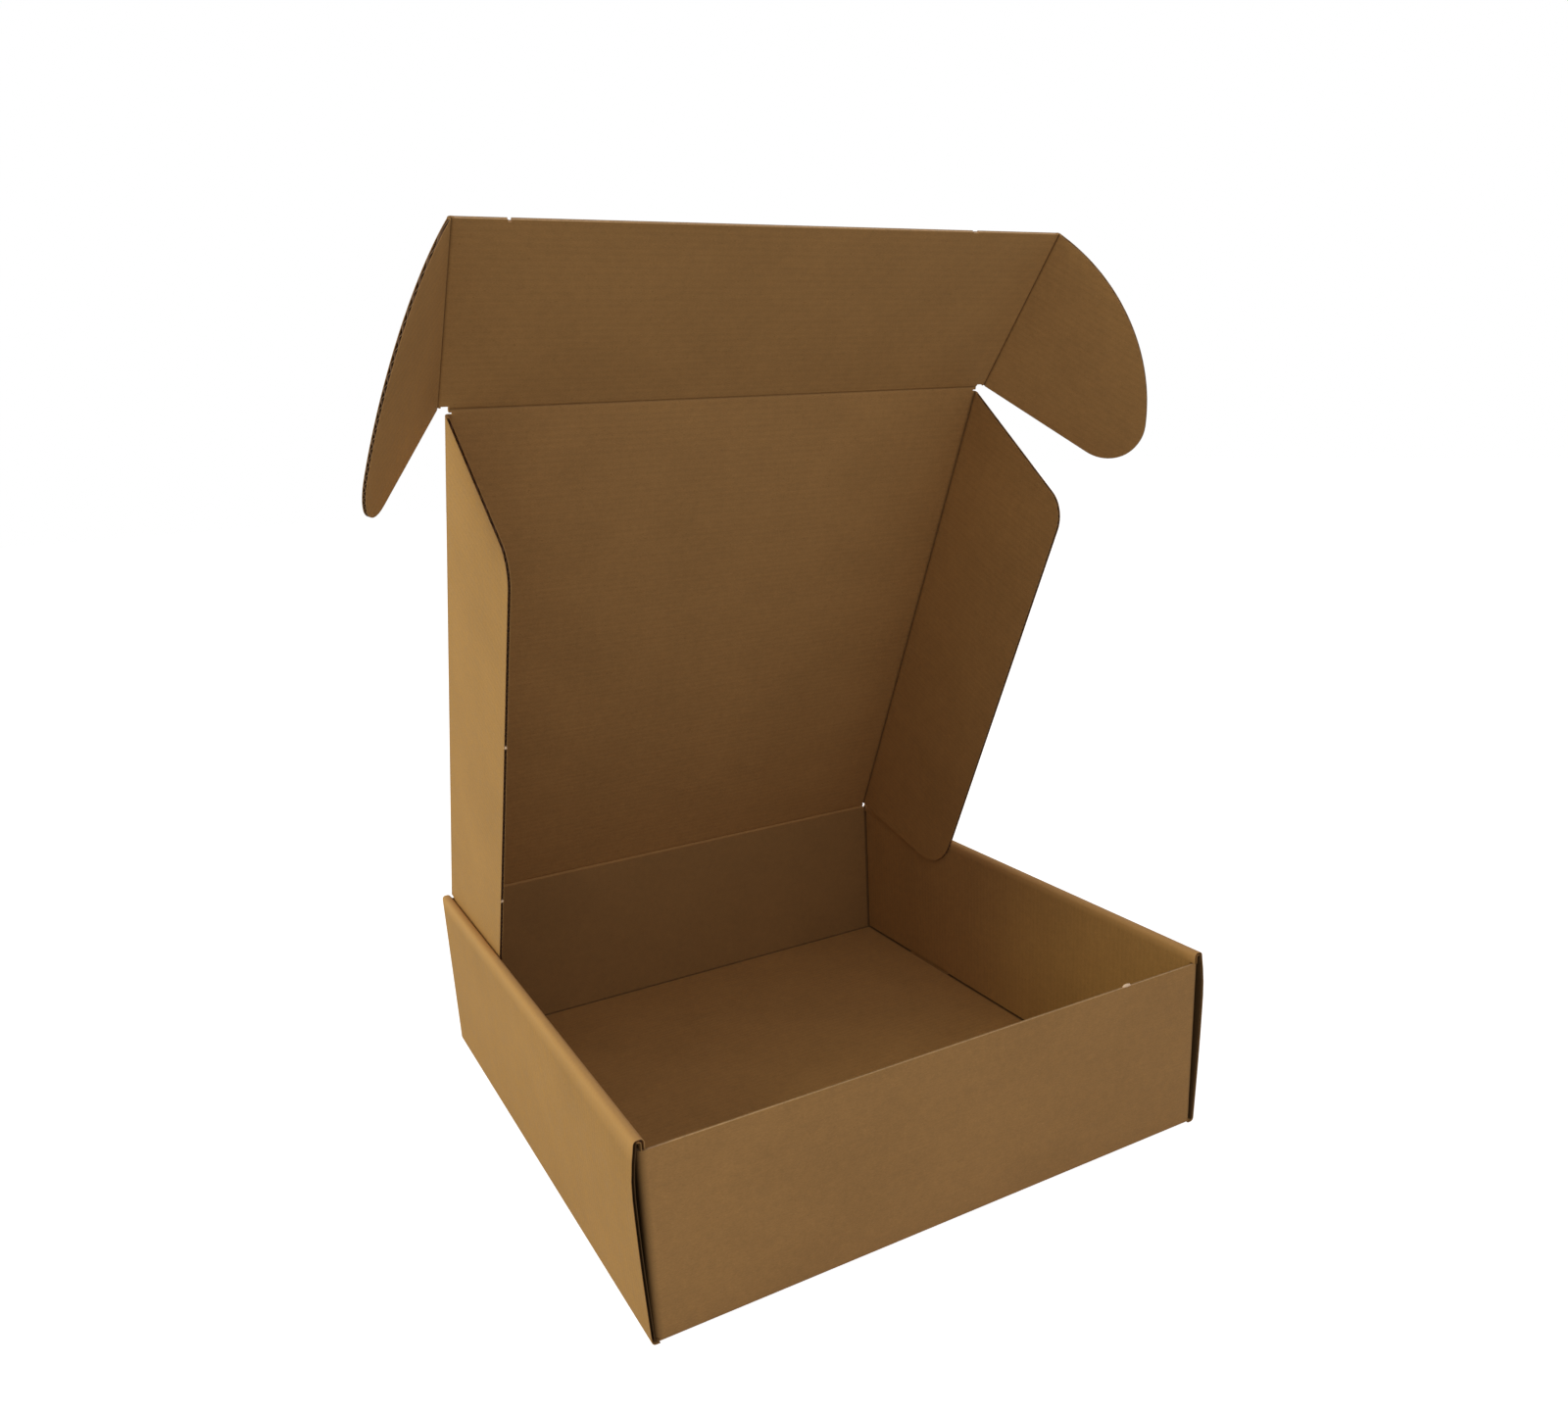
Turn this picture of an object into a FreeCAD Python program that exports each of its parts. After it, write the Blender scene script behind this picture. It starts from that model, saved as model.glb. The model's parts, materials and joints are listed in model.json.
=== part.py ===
"""A corrugated mailer box standing open: a tray with rolled double side walls, and its hinged lid.

The real box is one die-cut sheet of single-wall board. It is split only at the creases that move.
Millimetres, +Z up, +Y towards the back wall, origin at the centre of the base's underside.
"""
import FreeCAD, Part
import os
import Sketcher
from FreeCAD import Placement, Rotation, Vector

os.makedirs("parts", exist_ok=True)
doc = FreeCAD.newDocument("open_box")
sheet = doc.addObject("Spreadsheet::Sheet", "sizes")

SIZES = {
    # The tray
    "outer_width": 320.0,
    "outer_depth": 322.0,
    "wall_height": 101.0,
    "front_height": 95.0,
    "board": 1.7,
    "fold_radius": 0.4,
    "layer_gap": 0.1,
    "corner_tab": 95.0,
    "lock_tab_width": 45.0,
    "lock_tab_spread": 160.0,
    "lock_tab_rise": 0.2,
    "slot_gap": 0.15,
    # The outward bow of each side's outer panel at the front, where the ears slide in
    "bow": 2.4,
    "bow_height": 76.0,
    "bow_length": 130.0,
    # Running gaps of the moving panels
    "lid_gap": 0.35,
    "tuck_gap": 0.3,
    "crease_gap": 0.15,
    "floor_gap": 0.5,
    # Tuck flap and its ears
    "tuck_width": 318.0,
    "tuck_depth": 97.0,
    "ear_reach": 94.4,
    "ear_setback": 0.8,
    "ear_sweep_radius": 107.0,
    "ear_tip_radius": 22.4,
    # Dust flaps: the heel is at the lid's hinge, the toe at its front
    "dust_heel_gap": 2.4,
    "dust_toe_gap": 3.1,
    "dust_heel_angle": 11.0,
    "dust_toe_angle": 13.8,
    "dust_heel_radius": 29.0,
    "dust_toe_radius": 17.0,
    # The pose in which the box stands, in degrees
    "lid_lean_angle": 25.6,
    "tuck_bend_angle": 16.0,
    "ear_fold_angle": 57.0,
}

for row, (alias, size) in enumerate(SIZES.items(), 1):
    sheet.set(f"A{row}", alias)
    sheet.set(f"B{row}", str(size))
    sheet.setAlias(f"B{row}", alias)
doc.recompute()

# Places worked out from the sizes, as expressions that the objects are bound to
HALF_BOARD = "(sizes.board / 2)"
SIDE = "(sizes.outer_width / 2)"
FRONT = "(sizes.outer_depth / 2)"
FOLD = "(sizes.fold_radius + sizes.board)"
ROLL = "(3 * sizes.board + 2 * sizes.layer_gap)"
ROLL_FACE = f"({SIDE} - {ROLL})"
TAB_FACE = f"({SIDE} - sizes.board - sizes.layer_gap)"
TAB_FOOT = f"({FOLD} + sizes.layer_gap)"
BACK_TAB_TOP = "(sizes.wall_height - sizes.board - sizes.layer_gap)"
HINGE_Y = f"({FRONT} - {HALF_BOARD})"
HINGE_Z = f"(sizes.wall_height - {HALF_BOARD})"
CREASE_BACK = f"({HALF_BOARD} + sizes.crease_gap)"
LID_LENGTH = f"({HINGE_Y} + {FRONT} + sizes.tuck_gap + {HALF_BOARD})"
LID_SIDE = f"({ROLL_FACE} - sizes.lid_gap)"
DUST_AXIS = f"({LID_SIDE} - sizes.board)"
DUST_TOE = f"({LID_LENGTH} - sizes.dust_toe_gap)"
DUST_DROP = "(sizes.wall_height - 2 * sizes.board - sizes.floor_gap)"
EAR_AXIS = f"(sizes.tuck_width / 2 - {HALF_BOARD})"
TUCK_END = f"(sizes.tuck_depth - {HALF_BOARD})"


def number(expression):
    """The value of an expression in the sheet's sizes."""
    return float(sheet.evalExpression(expression))


def hold(sketch, kind, line, end, size):
    """Hold one end of a line at a distance from the sketch's origin."""
    index = sketch.addConstraint(Sketcher.Constraint(kind, -1, 1, line, end, number(size)))
    sketch.setExpression(f"Constraints[{index}]", size)


def polygon(sketch, corners):
    """Draw a closed outline whose corners are pairs of expressions."""
    spots = [Vector(number(across), number(along), 0) for across, along in corners]
    first = sketch.GeometryCount
    for here, there in zip(spots, spots[1:] + spots[:1]):
        sketch.addGeometry(Part.LineSegment(here, there), False)
    for place, (across, along) in enumerate(corners):
        line = first + place
        before = first + (place - 1) % len(corners)
        sketch.addConstraint(Sketcher.Constraint("Coincident", before, 2, line, 1))
        hold(sketch, "DistanceX", line, 1, across)
        hold(sketch, "DistanceY", line, 1, along)


def rectangle(sketch, left, right, low, high):
    """Draw a rectangle between four expressions."""
    polygon(sketch, [(left, low), (right, low), (right, high), (left, high)])


def new_sketch(body, name, plane, offset="0"):
    """A sketch on one of the body's origin planes, moved along the plane's normal."""
    sketch = body.newObject("Sketcher::SketchObject", name)
    support = next(item for item in body.Origin.OriginFeatures if item.Role == plane)
    sketch.AttachmentSupport = [(support, "")]
    sketch.MapMode = "FlatFace"
    sketch.setExpression("AttachmentOffset.Base.z", offset)
    return sketch


def extrude(body, kind, name, sketch, length, reverse=False, midplane=False):
    """Pad or pocket a sketch by a length."""
    feature = body.newObject(f"PartDesign::{kind}", name)
    feature.Profile = sketch
    feature.setExpression("Length", length)
    feature.Reversed = reverse
    feature.Midplane = midplane
    doc.recompute()
    return feature


def round_edges(body, name, radius, spots):
    """Round the straight edges whose middle lies at one of the given spots."""
    tip = body.Tip
    names = []
    for index, edge in enumerate(tip.Shape.Edges, 1):
        middle = (edge.Vertexes[0].Point + edge.Vertexes[-1].Point) * 0.5
        if any(middle.distanceToPoint(spot) < 0.01 for spot in spots):
            names.append(f"Edge{index}")
    if len(names) != len(spots):
        raise RuntimeError(f"{name}: {len(names)} edges found for {len(spots)} spots")
    fillet = body.newObject("PartDesign::Fillet", name)
    fillet.Base = (tip, names)
    fillet.setExpression("Radius", radius)
    doc.recompute()
    return fillet


def place(item, spot):
    """Bind an object's position to three expressions."""
    for axis, value in zip("xyz", spot):
        item.setExpression(f"Placement.Base.{axis}", value)


def box(name, low, high):
    """A box between two corners given as expressions."""
    item = doc.addObject("Part::Box", name)
    for side, start, end in zip(("Length", "Width", "Height"), low, high):
        item.setExpression(side, f"({end}) - ({start})")
    place(item, low)
    return item


def rod(name, radius, length, spot, rotation, angle=360):
    """A cylinder, or a sector of one, that starts at a spot and runs along its turned axis."""
    item = doc.addObject("Part::Cylinder", name)
    item.setExpression("Radius", radius)
    item.setExpression("Height", length)
    item.Angle = angle
    item.Placement = Placement(Vector(), rotation)
    place(item, spot)
    return item


def fuse(label, items):
    """Join pieces of one sheet into one solid."""
    item = doc.addObject("Part::MultiFuse", label)
    item.Shapes = items
    item.Refine = True
    return item


def cut(name, base, tool):
    """Take one shape away from another."""
    item = doc.addObject("Part::Cut", name)
    item.Base = base
    item.Tool = tool
    return item


# Turns of a cylinder from its own +Z onto the row's axes
ALONG_X = Rotation(Vector(0, 1, 0), 90)
ALONG_Y = Rotation(Vector(1, 0, 0), -90)
LEFT_QUARTER = Rotation(Vector(0, 0, -1), Vector(-1, 0, 0), Vector(0, 1, 0), "ZXY")


# Tray: the blank's base, front wall, back wall and corner tabs
def tray_blank():
    """Base, front wall and back wall with the four tabs that fold into the side walls."""
    body = doc.addObject("PartDesign::Body", "tray_blank")
    wall_side = f"({TAB_FACE} - {FOLD})"
    base_side = f"({SIDE} - {FOLD})"
    notch = f"({FRONT} - {FOLD})"
    sketch = new_sketch(body, "base_outline", "XY_Plane")
    quarter = [(base_side, notch), (wall_side, notch), (wall_side, FRONT)]
    corners = list(quarter)
    corners += [(f"-{across}", along) for across, along in reversed(quarter)]
    corners += [(f"-{across}", f"-{along}") for across, along in quarter]
    corners += [(across, f"-{along}") for across, along in reversed(quarter)]
    polygon(sketch, corners)
    extrude(body, "Pad", "base", sketch, "sizes.board")

    # On the XZ plane a positive offset lies towards the front
    sketch = new_sketch(body, "front_outline", "XZ_Plane", FRONT)
    rectangle(sketch, f"-{wall_side}", wall_side, "0", "sizes.front_height")
    extrude(body, "Pad", "front_wall", sketch, "sizes.board", reverse=True)
    sketch = new_sketch(body, "back_outline", "XZ_Plane", f"-{FRONT}")
    rectangle(sketch, f"-{wall_side}", wall_side, "0", BACK_TAB_TOP)
    extrude(body, "Pad", "back_wall", sketch, "sizes.board")
    sketch = new_sketch(body, "lip_outline", "XZ_Plane", f"-{FRONT}")
    rectangle(sketch, f"-{LID_SIDE}", LID_SIDE, f"{BACK_TAB_TOP} - sizes.board", HINGE_Z)
    extrude(body, "Pad", "hinge_lip", sketch, "sizes.board")

    for name, end, top in (("front", "-", "sizes.front_height"), ("back", "", BACK_TAB_TOP)):
        sketch = new_sketch(body, f"{name}_tab_outline", "XY_Plane", TAB_FOOT)
        inside = f"({TAB_FACE} - sizes.board)"
        face, back = f"{end}{FRONT}", f"{end}({FRONT} - sizes.board)"
        reach = f"{end}({FRONT} - sizes.corner_tab)"
        for side in ("", "-"):
            polygon(sketch, [
                (side + wall_side, face), (side + TAB_FACE, face), (side + TAB_FACE, reach),
                (side + inside, reach), (side + inside, back), (side + wall_side, back),
            ])
        extrude(body, "Pad", f"{name}_tabs", sketch, f"{top} - {TAB_FOOT}")

    front, board = number(FRONT), number("sizes.board")
    face, inside = number(TAB_FACE), number(TAB_FACE) - board
    foot, tops = number(TAB_FOOT), (number("sizes.front_height"), number(BACK_TAB_TOP))
    outer = [Vector(0, end * front, 0) for end in (-1, 1)]
    inner = [Vector(0, end * (front - board), board) for end in (-1, 1)]
    for end, top in zip((-1, 1), tops):
        for side in (-1, 1):
            middle = (foot + top) / 2
            outer.append(Vector(side * face, end * front, middle))
            inner.append(Vector(side * inside, end * (front - board), middle))
    round_edges(body, "outer_folds", FOLD, outer)
    round_edges(body, "inner_folds", "sizes.fold_radius", inner)

    sketch = new_sketch(body, "slot_outline", "XY_Plane")
    for side in ("", "-"):
        for end in ("", "-"):
            middle = f"{end}sizes.lock_tab_spread / 2"
            reach = "(sizes.lock_tab_width / 2 + sizes.slot_gap)"
            near = f"{side}({ROLL_FACE} - sizes.slot_gap)"
            far = f"{side}({ROLL_FACE} + sizes.board + sizes.slot_gap)"
            rectangle(sketch, near, far, f"{middle} - {reach}", f"{middle} + {reach}")
    extrude(body, "Pocket", "lock_slots", sketch, "sizes.board", reverse=True)
    return body


# Tray: one rolled side wall, three boards thick at its ends
def roll_section(side, along, bow):
    """The rolled wall's closed section at one depth: outer panel, top strip and inner panel."""
    half, roll, board = number(SIDE), number(ROLL), number("sizes.board")
    fold, bend = number(FOLD), number("sizes.fold_radius")
    top, foot = number("sizes.wall_height"), board + number("sizes.layer_gap")
    peak = number("sizes.bow_height")

    def spot(inward, height):
        return Vector(side * (half - inward), along, height)

    def panel(inward, low, high):
        """The panel's line, bowed outwards most at the peak."""
        middle = (low + peak) / 2
        stops = ((0, low), (0.6 * bow, middle), (bow, peak), (0, high))
        curve = Part.BSplineCurve()
        curve.interpolate([spot(inward - out, height) for out, height in stops])
        return curve.toShape()

    def turn(inward, height, radius, start):
        """A quarter turn about a centre, from a compass angle in degrees, clockwise from outside."""
        circle = [Rotation(Vector(0, 0, 1), -angle).multVec(Vector(-radius, 0, 0))
                  for angle in (start, start + 45, start + 90)]
        ends = [spot(inward + step.x, height + step.y) for step in circle]
        return Part.Arc(*ends).toShape()

    inner_top = top - board - bend
    outer_up = panel(0, fold, top - fold)
    inner_up = panel(board, board + bend, inner_top)
    base_turn = turn(fold, fold, fold, -90)
    base_inside = turn(fold, fold, bend, -90)
    lines = [
        (spot(fold, top), spot(roll - fold, top)),
        (spot(roll, top - fold), spot(roll, foot)),
        (spot(roll, foot), spot(roll - board, foot)),
        (spot(roll - board, foot), spot(roll - board, inner_top)),
        (spot(roll - board - bend, top - board), spot(board + bend, top - board)),
        (spot(fold, 0), spot(fold, board)),
    ]
    edges = [base_turn, outer_up, turn(fold, top - fold, fold, 0)]
    edges += [turn(roll - fold, top - fold, fold, 90), base_inside, inner_up]
    edges += [turn(board + bend, inner_top, bend, 0), turn(roll - board - bend, inner_top, bend, 90)]
    edges += [Part.LineSegment(start, end).toShape() for start, end in lines]
    return Part.Wire(Part.__sortEdges__(edges))


def side_roll(name, side):
    """A rolled side wall along the whole depth, cleared where the end walls pass inside it."""
    front, board, gap = number(FRONT), number("sizes.board"), number("sizes.layer_gap")
    straight = -front + number("sizes.bow_length")
    sections = [
        roll_section(side, -front, number("sizes.bow")),
        roll_section(side, straight, 0.0),
        roll_section(side, front, 0.0),
    ]
    shape = Part.makeLoft(sections, True, True)
    inside = number(TAB_FACE) + gap / 2
    for end, top in ((-1, number("sizes.front_height")), (1, number(BACK_TAB_TOP))):
        depth = board + gap
        low = Vector(-inside, -front if end < 0 else front - depth, number(FOLD))
        passage = Part.makeBox(2 * inside, depth, top + gap - low.z, low)
        shape = shape.cut(passage)
    item = doc.addObject("Part::Feature", name)
    item.Shape = shape
    return item


def lock_tabs():
    """The tabs below each inner panel, which stand in the base's slots."""
    tabs = []
    for side in ("", "-"):
        for end in ("", "-"):
            middle = f"{end}sizes.lock_tab_spread / 2"
            faces = [f"{side}{ROLL_FACE}", f"{side}({ROLL_FACE} + sizes.board)"]
            faces.sort(key=number)
            low = (faces[0], f"{middle} - sizes.lock_tab_width / 2", "sizes.lock_tab_rise")
            high = (faces[1], f"{middle} + sizes.lock_tab_width / 2", "3 * sizes.board")
            tabs.append(box("lock_tab", low, high))
    return tabs


hinge_bead = rod("hinge_bead", HALF_BOARD, f"2 * {LID_SIDE}", (f"-{LID_SIDE}", HINGE_Y, HINGE_Z), ALONG_X)
rolls = [side_roll("left_roll", -1), side_roll("right_roll", 1)]
tray = fuse("tray", [tray_blank(), hinge_bead] + rolls + lock_tabs())


# Lid: local X is the box's, +Y runs from the hinge to the front edge, +Z is the inner face
def lid_panel():
    """The top panel, with a bead on its front edge and a rounded fold along each side."""
    plate = box("lid_plate", (f"-{DUST_AXIS}", CREASE_BACK, f"-{HALF_BOARD}"),
                (DUST_AXIS, LID_LENGTH, HALF_BOARD))
    bead = rod("lid_bead", HALF_BOARD, f"2 * {DUST_AXIS}", (f"-{DUST_AXIS}", LID_LENGTH, "0"), ALONG_X)
    folds = []
    for side, turned in (("", ALONG_Y), ("-", LEFT_QUARTER)):
        spot = (side + DUST_AXIS, "sizes.dust_heel_gap", HALF_BOARD)
        length = f"{DUST_TOE} - sizes.dust_heel_gap"
        folds.append(rod("dust_fold", "sizes.board", length, spot, turned, 90))
    return fuse("lid", [plate, bead] + folds)


# Tuck flap: the same axes as the lid's, from its own crease
def crease_cut(name, width):
    """The room that a flap leaves for the bead that it turns about, open on its inner half."""
    bore = rod(f"{name}_bore", CREASE_BACK, width, (f"-{width} / 2", "0", "0"), ALONG_X)
    relief = box(f"{name}_relief", (f"-{width} / 2", "0", "0"), (f"{width} / 2", CREASE_BACK, "sizes.board"))
    return fuse(f"{name}_room", [bore, relief])


def tuck_panel():
    """The tuck flap, with a bead along each end for its ears."""
    plate = box("tuck_plate", (f"-{EAR_AXIS}", "0", f"-{HALF_BOARD}"), (EAR_AXIS, TUCK_END, HALF_BOARD))
    beads = []
    for side in ("", "-"):
        spot = (side + EAR_AXIS, "sizes.ear_setback", "0")
        beads.append(rod("ear_bead", HALF_BOARD, f"{TUCK_END} - sizes.ear_setback", spot, ALONG_Y))
    whole = fuse("tuck_whole", [plate] + beads)
    return cut("tuck_flap", whole, crease_cut("tuck", "sizes.outer_width"))


# Ears: local +Y runs along the crease, away from the lid, and the ear reaches along X
def ear(label, side):
    """A locking ear: one long sweep from the crease's far end, a tight tip and a straight lower edge."""
    body = doc.addObject("PartDesign::Body", label)
    start, end = number("sizes.ear_setback"), number(TUCK_END)
    sweep, tip = number("sizes.ear_sweep_radius"), number("sizes.ear_tip_radius")
    reach = number(f"sizes.ear_reach - {HALF_BOARD}")
    tip_centre = Vector(reach - tip, start + tip, 0)
    # The sweep passes the crease's end and touches the tip's circle from inside
    corner = Vector(0, end, 0)
    span = tip_centre - corner
    distance = span.Length
    near = (sweep ** 2 - (sweep - tip) ** 2 + distance ** 2) / (2 * distance)
    aside = (sweep ** 2 - near ** 2) ** 0.5
    along = span / distance
    centre = corner + along * near + Vector(along.y, -along.x, 0) * aside
    touch = tip_centre + (tip_centre - centre).normalize() * tip
    middle = centre + ((corner + touch) / 2 - centre).normalize() * sweep
    diagonal = (touch - tip_centre).normalize() + Vector(0, -1, 0)
    tip_middle = tip_centre + diagonal.normalize() * tip
    foot = Vector(tip_centre.x, start, 0)

    def across(spot):
        return Vector(side * spot.x, spot.y, 0)

    sketch = new_sketch(body, "outline", "XY_Plane")
    low = Vector(0, start, 0)
    sketch.addGeometry([
        Part.LineSegment(across(low), across(corner)),
        Part.Arc(across(corner), across(middle), across(touch)),
        Part.Arc(across(touch), across(tip_middle), across(foot)),
        Part.LineSegment(across(foot), across(low)),
    ], False)
    # An arc's ends run anticlockwise, so which end is which depends on the side
    first, last = (2, 1) if side > 0 else (1, 2)
    sketch.addConstraint([
        Sketcher.Constraint("Coincident", 0, 2, 1, first),
        Sketcher.Constraint("Tangent", 1, last, 2, first),
        Sketcher.Constraint("Tangent", 2, last, 3, 1),
        Sketcher.Constraint("Coincident", 3, 2, 0, 1),
        Sketcher.Constraint("Horizontal", 3),
    ])
    hold(sketch, "DistanceX", 0, 1, "0")
    hold(sketch, "DistanceY", 0, 1, "sizes.ear_setback")
    hold(sketch, "DistanceX", 0, 2, "0")
    hold(sketch, "DistanceY", 0, 2, TUCK_END)
    tip_side = f"(sizes.ear_reach - {HALF_BOARD} - sizes.ear_tip_radius)"
    hold(sketch, "DistanceX", 2, 3, tip_side if side > 0 else f"-{tip_side}")
    for arc, radius in ((1, "sizes.ear_sweep_radius"), (2, "sizes.ear_tip_radius")):
        index = sketch.addConstraint(Sketcher.Constraint("Radius", arc, number(radius)))
        sketch.setExpression(f"Constraints[{index}]", radius)
    extrude(body, "Pad", "panel", sketch, "sizes.board", midplane=True)

    sketch = new_sketch(body, "bead_room", "XZ_Plane")
    circle = sketch.addGeometry(Part.Circle(Vector(), Vector(0, 0, 1), number(CREASE_BACK)), False)
    sketch.addConstraint(Sketcher.Constraint("Coincident", circle, 3, -1, 1))
    index = sketch.addConstraint(Sketcher.Constraint("Radius", circle, number(CREASE_BACK)))
    sketch.setExpression(f"Constraints[{index}]", CREASE_BACK)
    extrude(body, "Pocket", "bead_bore", sketch, "4 * sizes.tuck_depth", midplane=True)
    sketch = new_sketch(body, "relief_outline", "XZ_Plane")
    if side > 0:
        rectangle(sketch, "0", CREASE_BACK, "0", "sizes.board")
    else:
        rectangle(sketch, f"-{CREASE_BACK}", "0", "0", "sizes.board")
    extrude(body, "Pocket", "inner_relief", sketch, "4 * sizes.tuck_depth", midplane=True)
    return body


# Dust flaps: local Y runs along the crease from heel to toe, +Z hangs away from the lid
def dust_flap(label, side):
    """A dust flap with a sloping heel and toe and two rounded outer corners."""
    body = doc.addObject("PartDesign::Body", label)
    sketch = new_sketch(body, "outline", "YZ_Plane")
    heel, toe = "sizes.dust_heel_gap", DUST_TOE
    heel_end = f"{heel} + {DUST_DROP} * tan(sizes.dust_heel_angle)"
    toe_end = f"{toe} - {DUST_DROP} * tan(sizes.dust_toe_angle)"
    polygon(sketch, [(heel, "sizes.crease_gap"), (toe, "sizes.crease_gap"),
                     (toe_end, DUST_DROP), (heel_end, DUST_DROP)])
    extrude(body, "Pad", "panel", sketch, "sizes.board", reverse=side < 0)
    middle = side * number(HALF_BOARD)
    drop = number(DUST_DROP)
    round_edges(body, "heel_corner", "sizes.dust_heel_radius", [Vector(middle, number(heel_end), drop)])
    round_edges(body, "toe_corner", "sizes.dust_toe_radius", [Vector(middle, number(toe_end), drop)])
    return body


lid = lid_panel()
tuck_flap = tuck_panel()
right_ear, left_ear = ear("right_ear", 1), ear("left_ear", -1)
right_dust_flap, left_dust_flap = dust_flap("right_dust_flap", 1), dust_flap("left_dust_flap", -1)
doc.recompute()

# The pose: each panel is turned about its own crease, from the tray outwards
# At 180 degrees about X the lid lies closed, and every degree less opens it
lid_turn = 90 + number("sizes.lid_lean_angle")
lid_place = Placement(Vector(0, number(HINGE_Y), number(HINGE_Z)), Rotation(Vector(1, 0, 0), lid_turn))
tuck_place = lid_place.multiply(
    Placement(Vector(0, number(LID_LENGTH), 0), Rotation(Vector(1, 0, 0), number("sizes.tuck_bend_angle")))
)
lid.Placement = lid_place
tuck_flap.Placement = tuck_place
for panel, side in ((right_ear, 1), (left_ear, -1)):
    fold = Rotation(Vector(0, 1, 0), -side * number("sizes.ear_fold_angle"))
    panel.Placement = tuck_place.multiply(Placement(Vector(side * number(EAR_AXIS), 0, 0), fold))
for panel, side in ((right_dust_flap, 1), (left_dust_flap, -1)):
    crease = Vector(side * number(DUST_AXIS), 0, number(HALF_BOARD))
    panel.Placement = lid_place.multiply(Placement(crease, Rotation()))
doc.recompute()

NODES = [tray, lid, left_dust_flap, right_dust_flap, tuck_flap, left_ear, right_ear]
for item in doc.Objects:
    if "Invalid" in item.State or "Error" in item.State:
        raise RuntimeError(f"{item.Label} did not build: {item.State}")
for item in NODES:
    if item.Shape.isNull() or not item.Shape.isValid() or len(item.Shape.Solids) != 1:
        raise RuntimeError(f"{item.Label} is not one valid solid")
for item in NODES:
    item.Shape.exportStep(f"parts/{item.Label}.step")
    bounds = item.Shape.BoundBox
    print(f"{item.Label}: volume {item.Shape.Volume:.0f}, x {bounds.XMin:.1f} to {bounds.XMax:.1f}, "
          f"y {bounds.YMin:.1f} to {bounds.YMax:.1f}, z {bounds.ZMin:.1f} to {bounds.ZMax:.1f}")
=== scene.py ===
"""The look of a kraft mailer box standing open: fluted board, folds, cut edges, and shade and highlights
painted along the creases.

Every panel is built flat, as it was cut from the sheet, then folded, and laid where the frame's joints say.
Metres throughout. A panel's own axes are X away from its crease, Y along it and Z out of its inner face.
"""
import json
import logging
import math
from dataclasses import dataclass, field, replace
from enum import Enum
from typing import Callable, Iterable

import bmesh
import bpy
from mathutils import Matrix, Vector, noise


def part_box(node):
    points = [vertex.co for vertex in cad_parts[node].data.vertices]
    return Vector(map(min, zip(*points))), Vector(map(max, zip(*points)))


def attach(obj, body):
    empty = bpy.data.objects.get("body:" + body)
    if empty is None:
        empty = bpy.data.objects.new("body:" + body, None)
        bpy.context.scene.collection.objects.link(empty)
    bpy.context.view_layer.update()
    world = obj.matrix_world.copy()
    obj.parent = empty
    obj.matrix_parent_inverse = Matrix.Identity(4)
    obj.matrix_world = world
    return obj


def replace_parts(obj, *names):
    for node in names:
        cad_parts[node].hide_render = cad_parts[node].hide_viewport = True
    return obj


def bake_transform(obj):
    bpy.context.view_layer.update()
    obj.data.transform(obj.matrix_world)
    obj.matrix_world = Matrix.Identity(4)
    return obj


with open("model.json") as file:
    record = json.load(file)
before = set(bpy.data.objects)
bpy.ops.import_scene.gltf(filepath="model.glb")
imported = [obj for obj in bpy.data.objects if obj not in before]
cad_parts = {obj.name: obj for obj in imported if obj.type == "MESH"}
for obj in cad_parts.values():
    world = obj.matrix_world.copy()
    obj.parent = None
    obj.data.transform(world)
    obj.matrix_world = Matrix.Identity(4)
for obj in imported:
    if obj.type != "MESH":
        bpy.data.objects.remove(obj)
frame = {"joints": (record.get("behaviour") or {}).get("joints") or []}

LOG = logging.getLogger("mailer_box")
# Vertex layer that the materials read: shade painted into creases, recesses and gaps above zero, highlight
# painted on folds below zero
PAINTED_SHADING_LAYER = "crease"
# Points of a mesh that are nearer than this are one, and heights that differ by less are the same
WELD = 1e-7
NEAR = 1e-6
# How far a cut reaches past the edge of its sheet
OVERRUN = 0.001
# Faces that meet at more than this angle keep a sharp edge
SHARP_ANGLE = math.radians(32)
Point = tuple[float, float]
Triple = tuple[float, float, float]
Socket = bpy.types.NodeSocket
Rule = Callable[[Vector], Vector]
PaintedShading = Callable[[Vector], float]


class Side(Enum):
    """The two mirror-image halves of the box."""

    LEFT = -1
    RIGHT = 1


class Paper(Enum):
    """What a face shows, in the order of a piece's material slots: liner, waved paper or a crushed cut."""

    LINER = 0
    MEDIUM = 1
    CUT = 2


@dataclass(frozen=True)
class Board:
    """Single-wall corrugated board.

    Attributes:
        thickness: Over both liners.
        liner: Thickness of each outer paper.
        medium: Thickness of the waved paper.
        pitch: Distance from one flute to the next.
        inner_radius: Radius inside a right-angled fold.
        crease_half: Half of the width that a crease softens.
        cut_recess: How far the waved paper stands back from an open cut along the flutes.
        crush_recess: How far it stands back from a cut that the knife crushed shut.
        groove_half: Half of the width of the dark line in a crease.
    """

    thickness: float = 0.0017
    liner: float = 0.00024
    medium: float = 0.0002
    pitch: float = 0.0033
    inner_radius: float = 0.0004
    crease_half: float = 0.0017
    cut_recess: float = 0.003
    crush_recess: float = 0.00012
    # groove_half: Half of the width of a crease's groove and of the shade painted along it.
    groove_half: float = 0.00055

    @property
    def half(self) -> float:
        """Half of the board's thickness."""
        return self.thickness / 2

    @property
    def outer_radius(self) -> float:
        """Radius outside a right-angled fold."""
        return self.inner_radius + self.thickness

    @property
    def fold_length(self) -> float:
        """Length of the board's middle in a right-angled fold."""
        return (self.inner_radius + self.half) * math.pi / 2


BOARD = Board()


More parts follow.
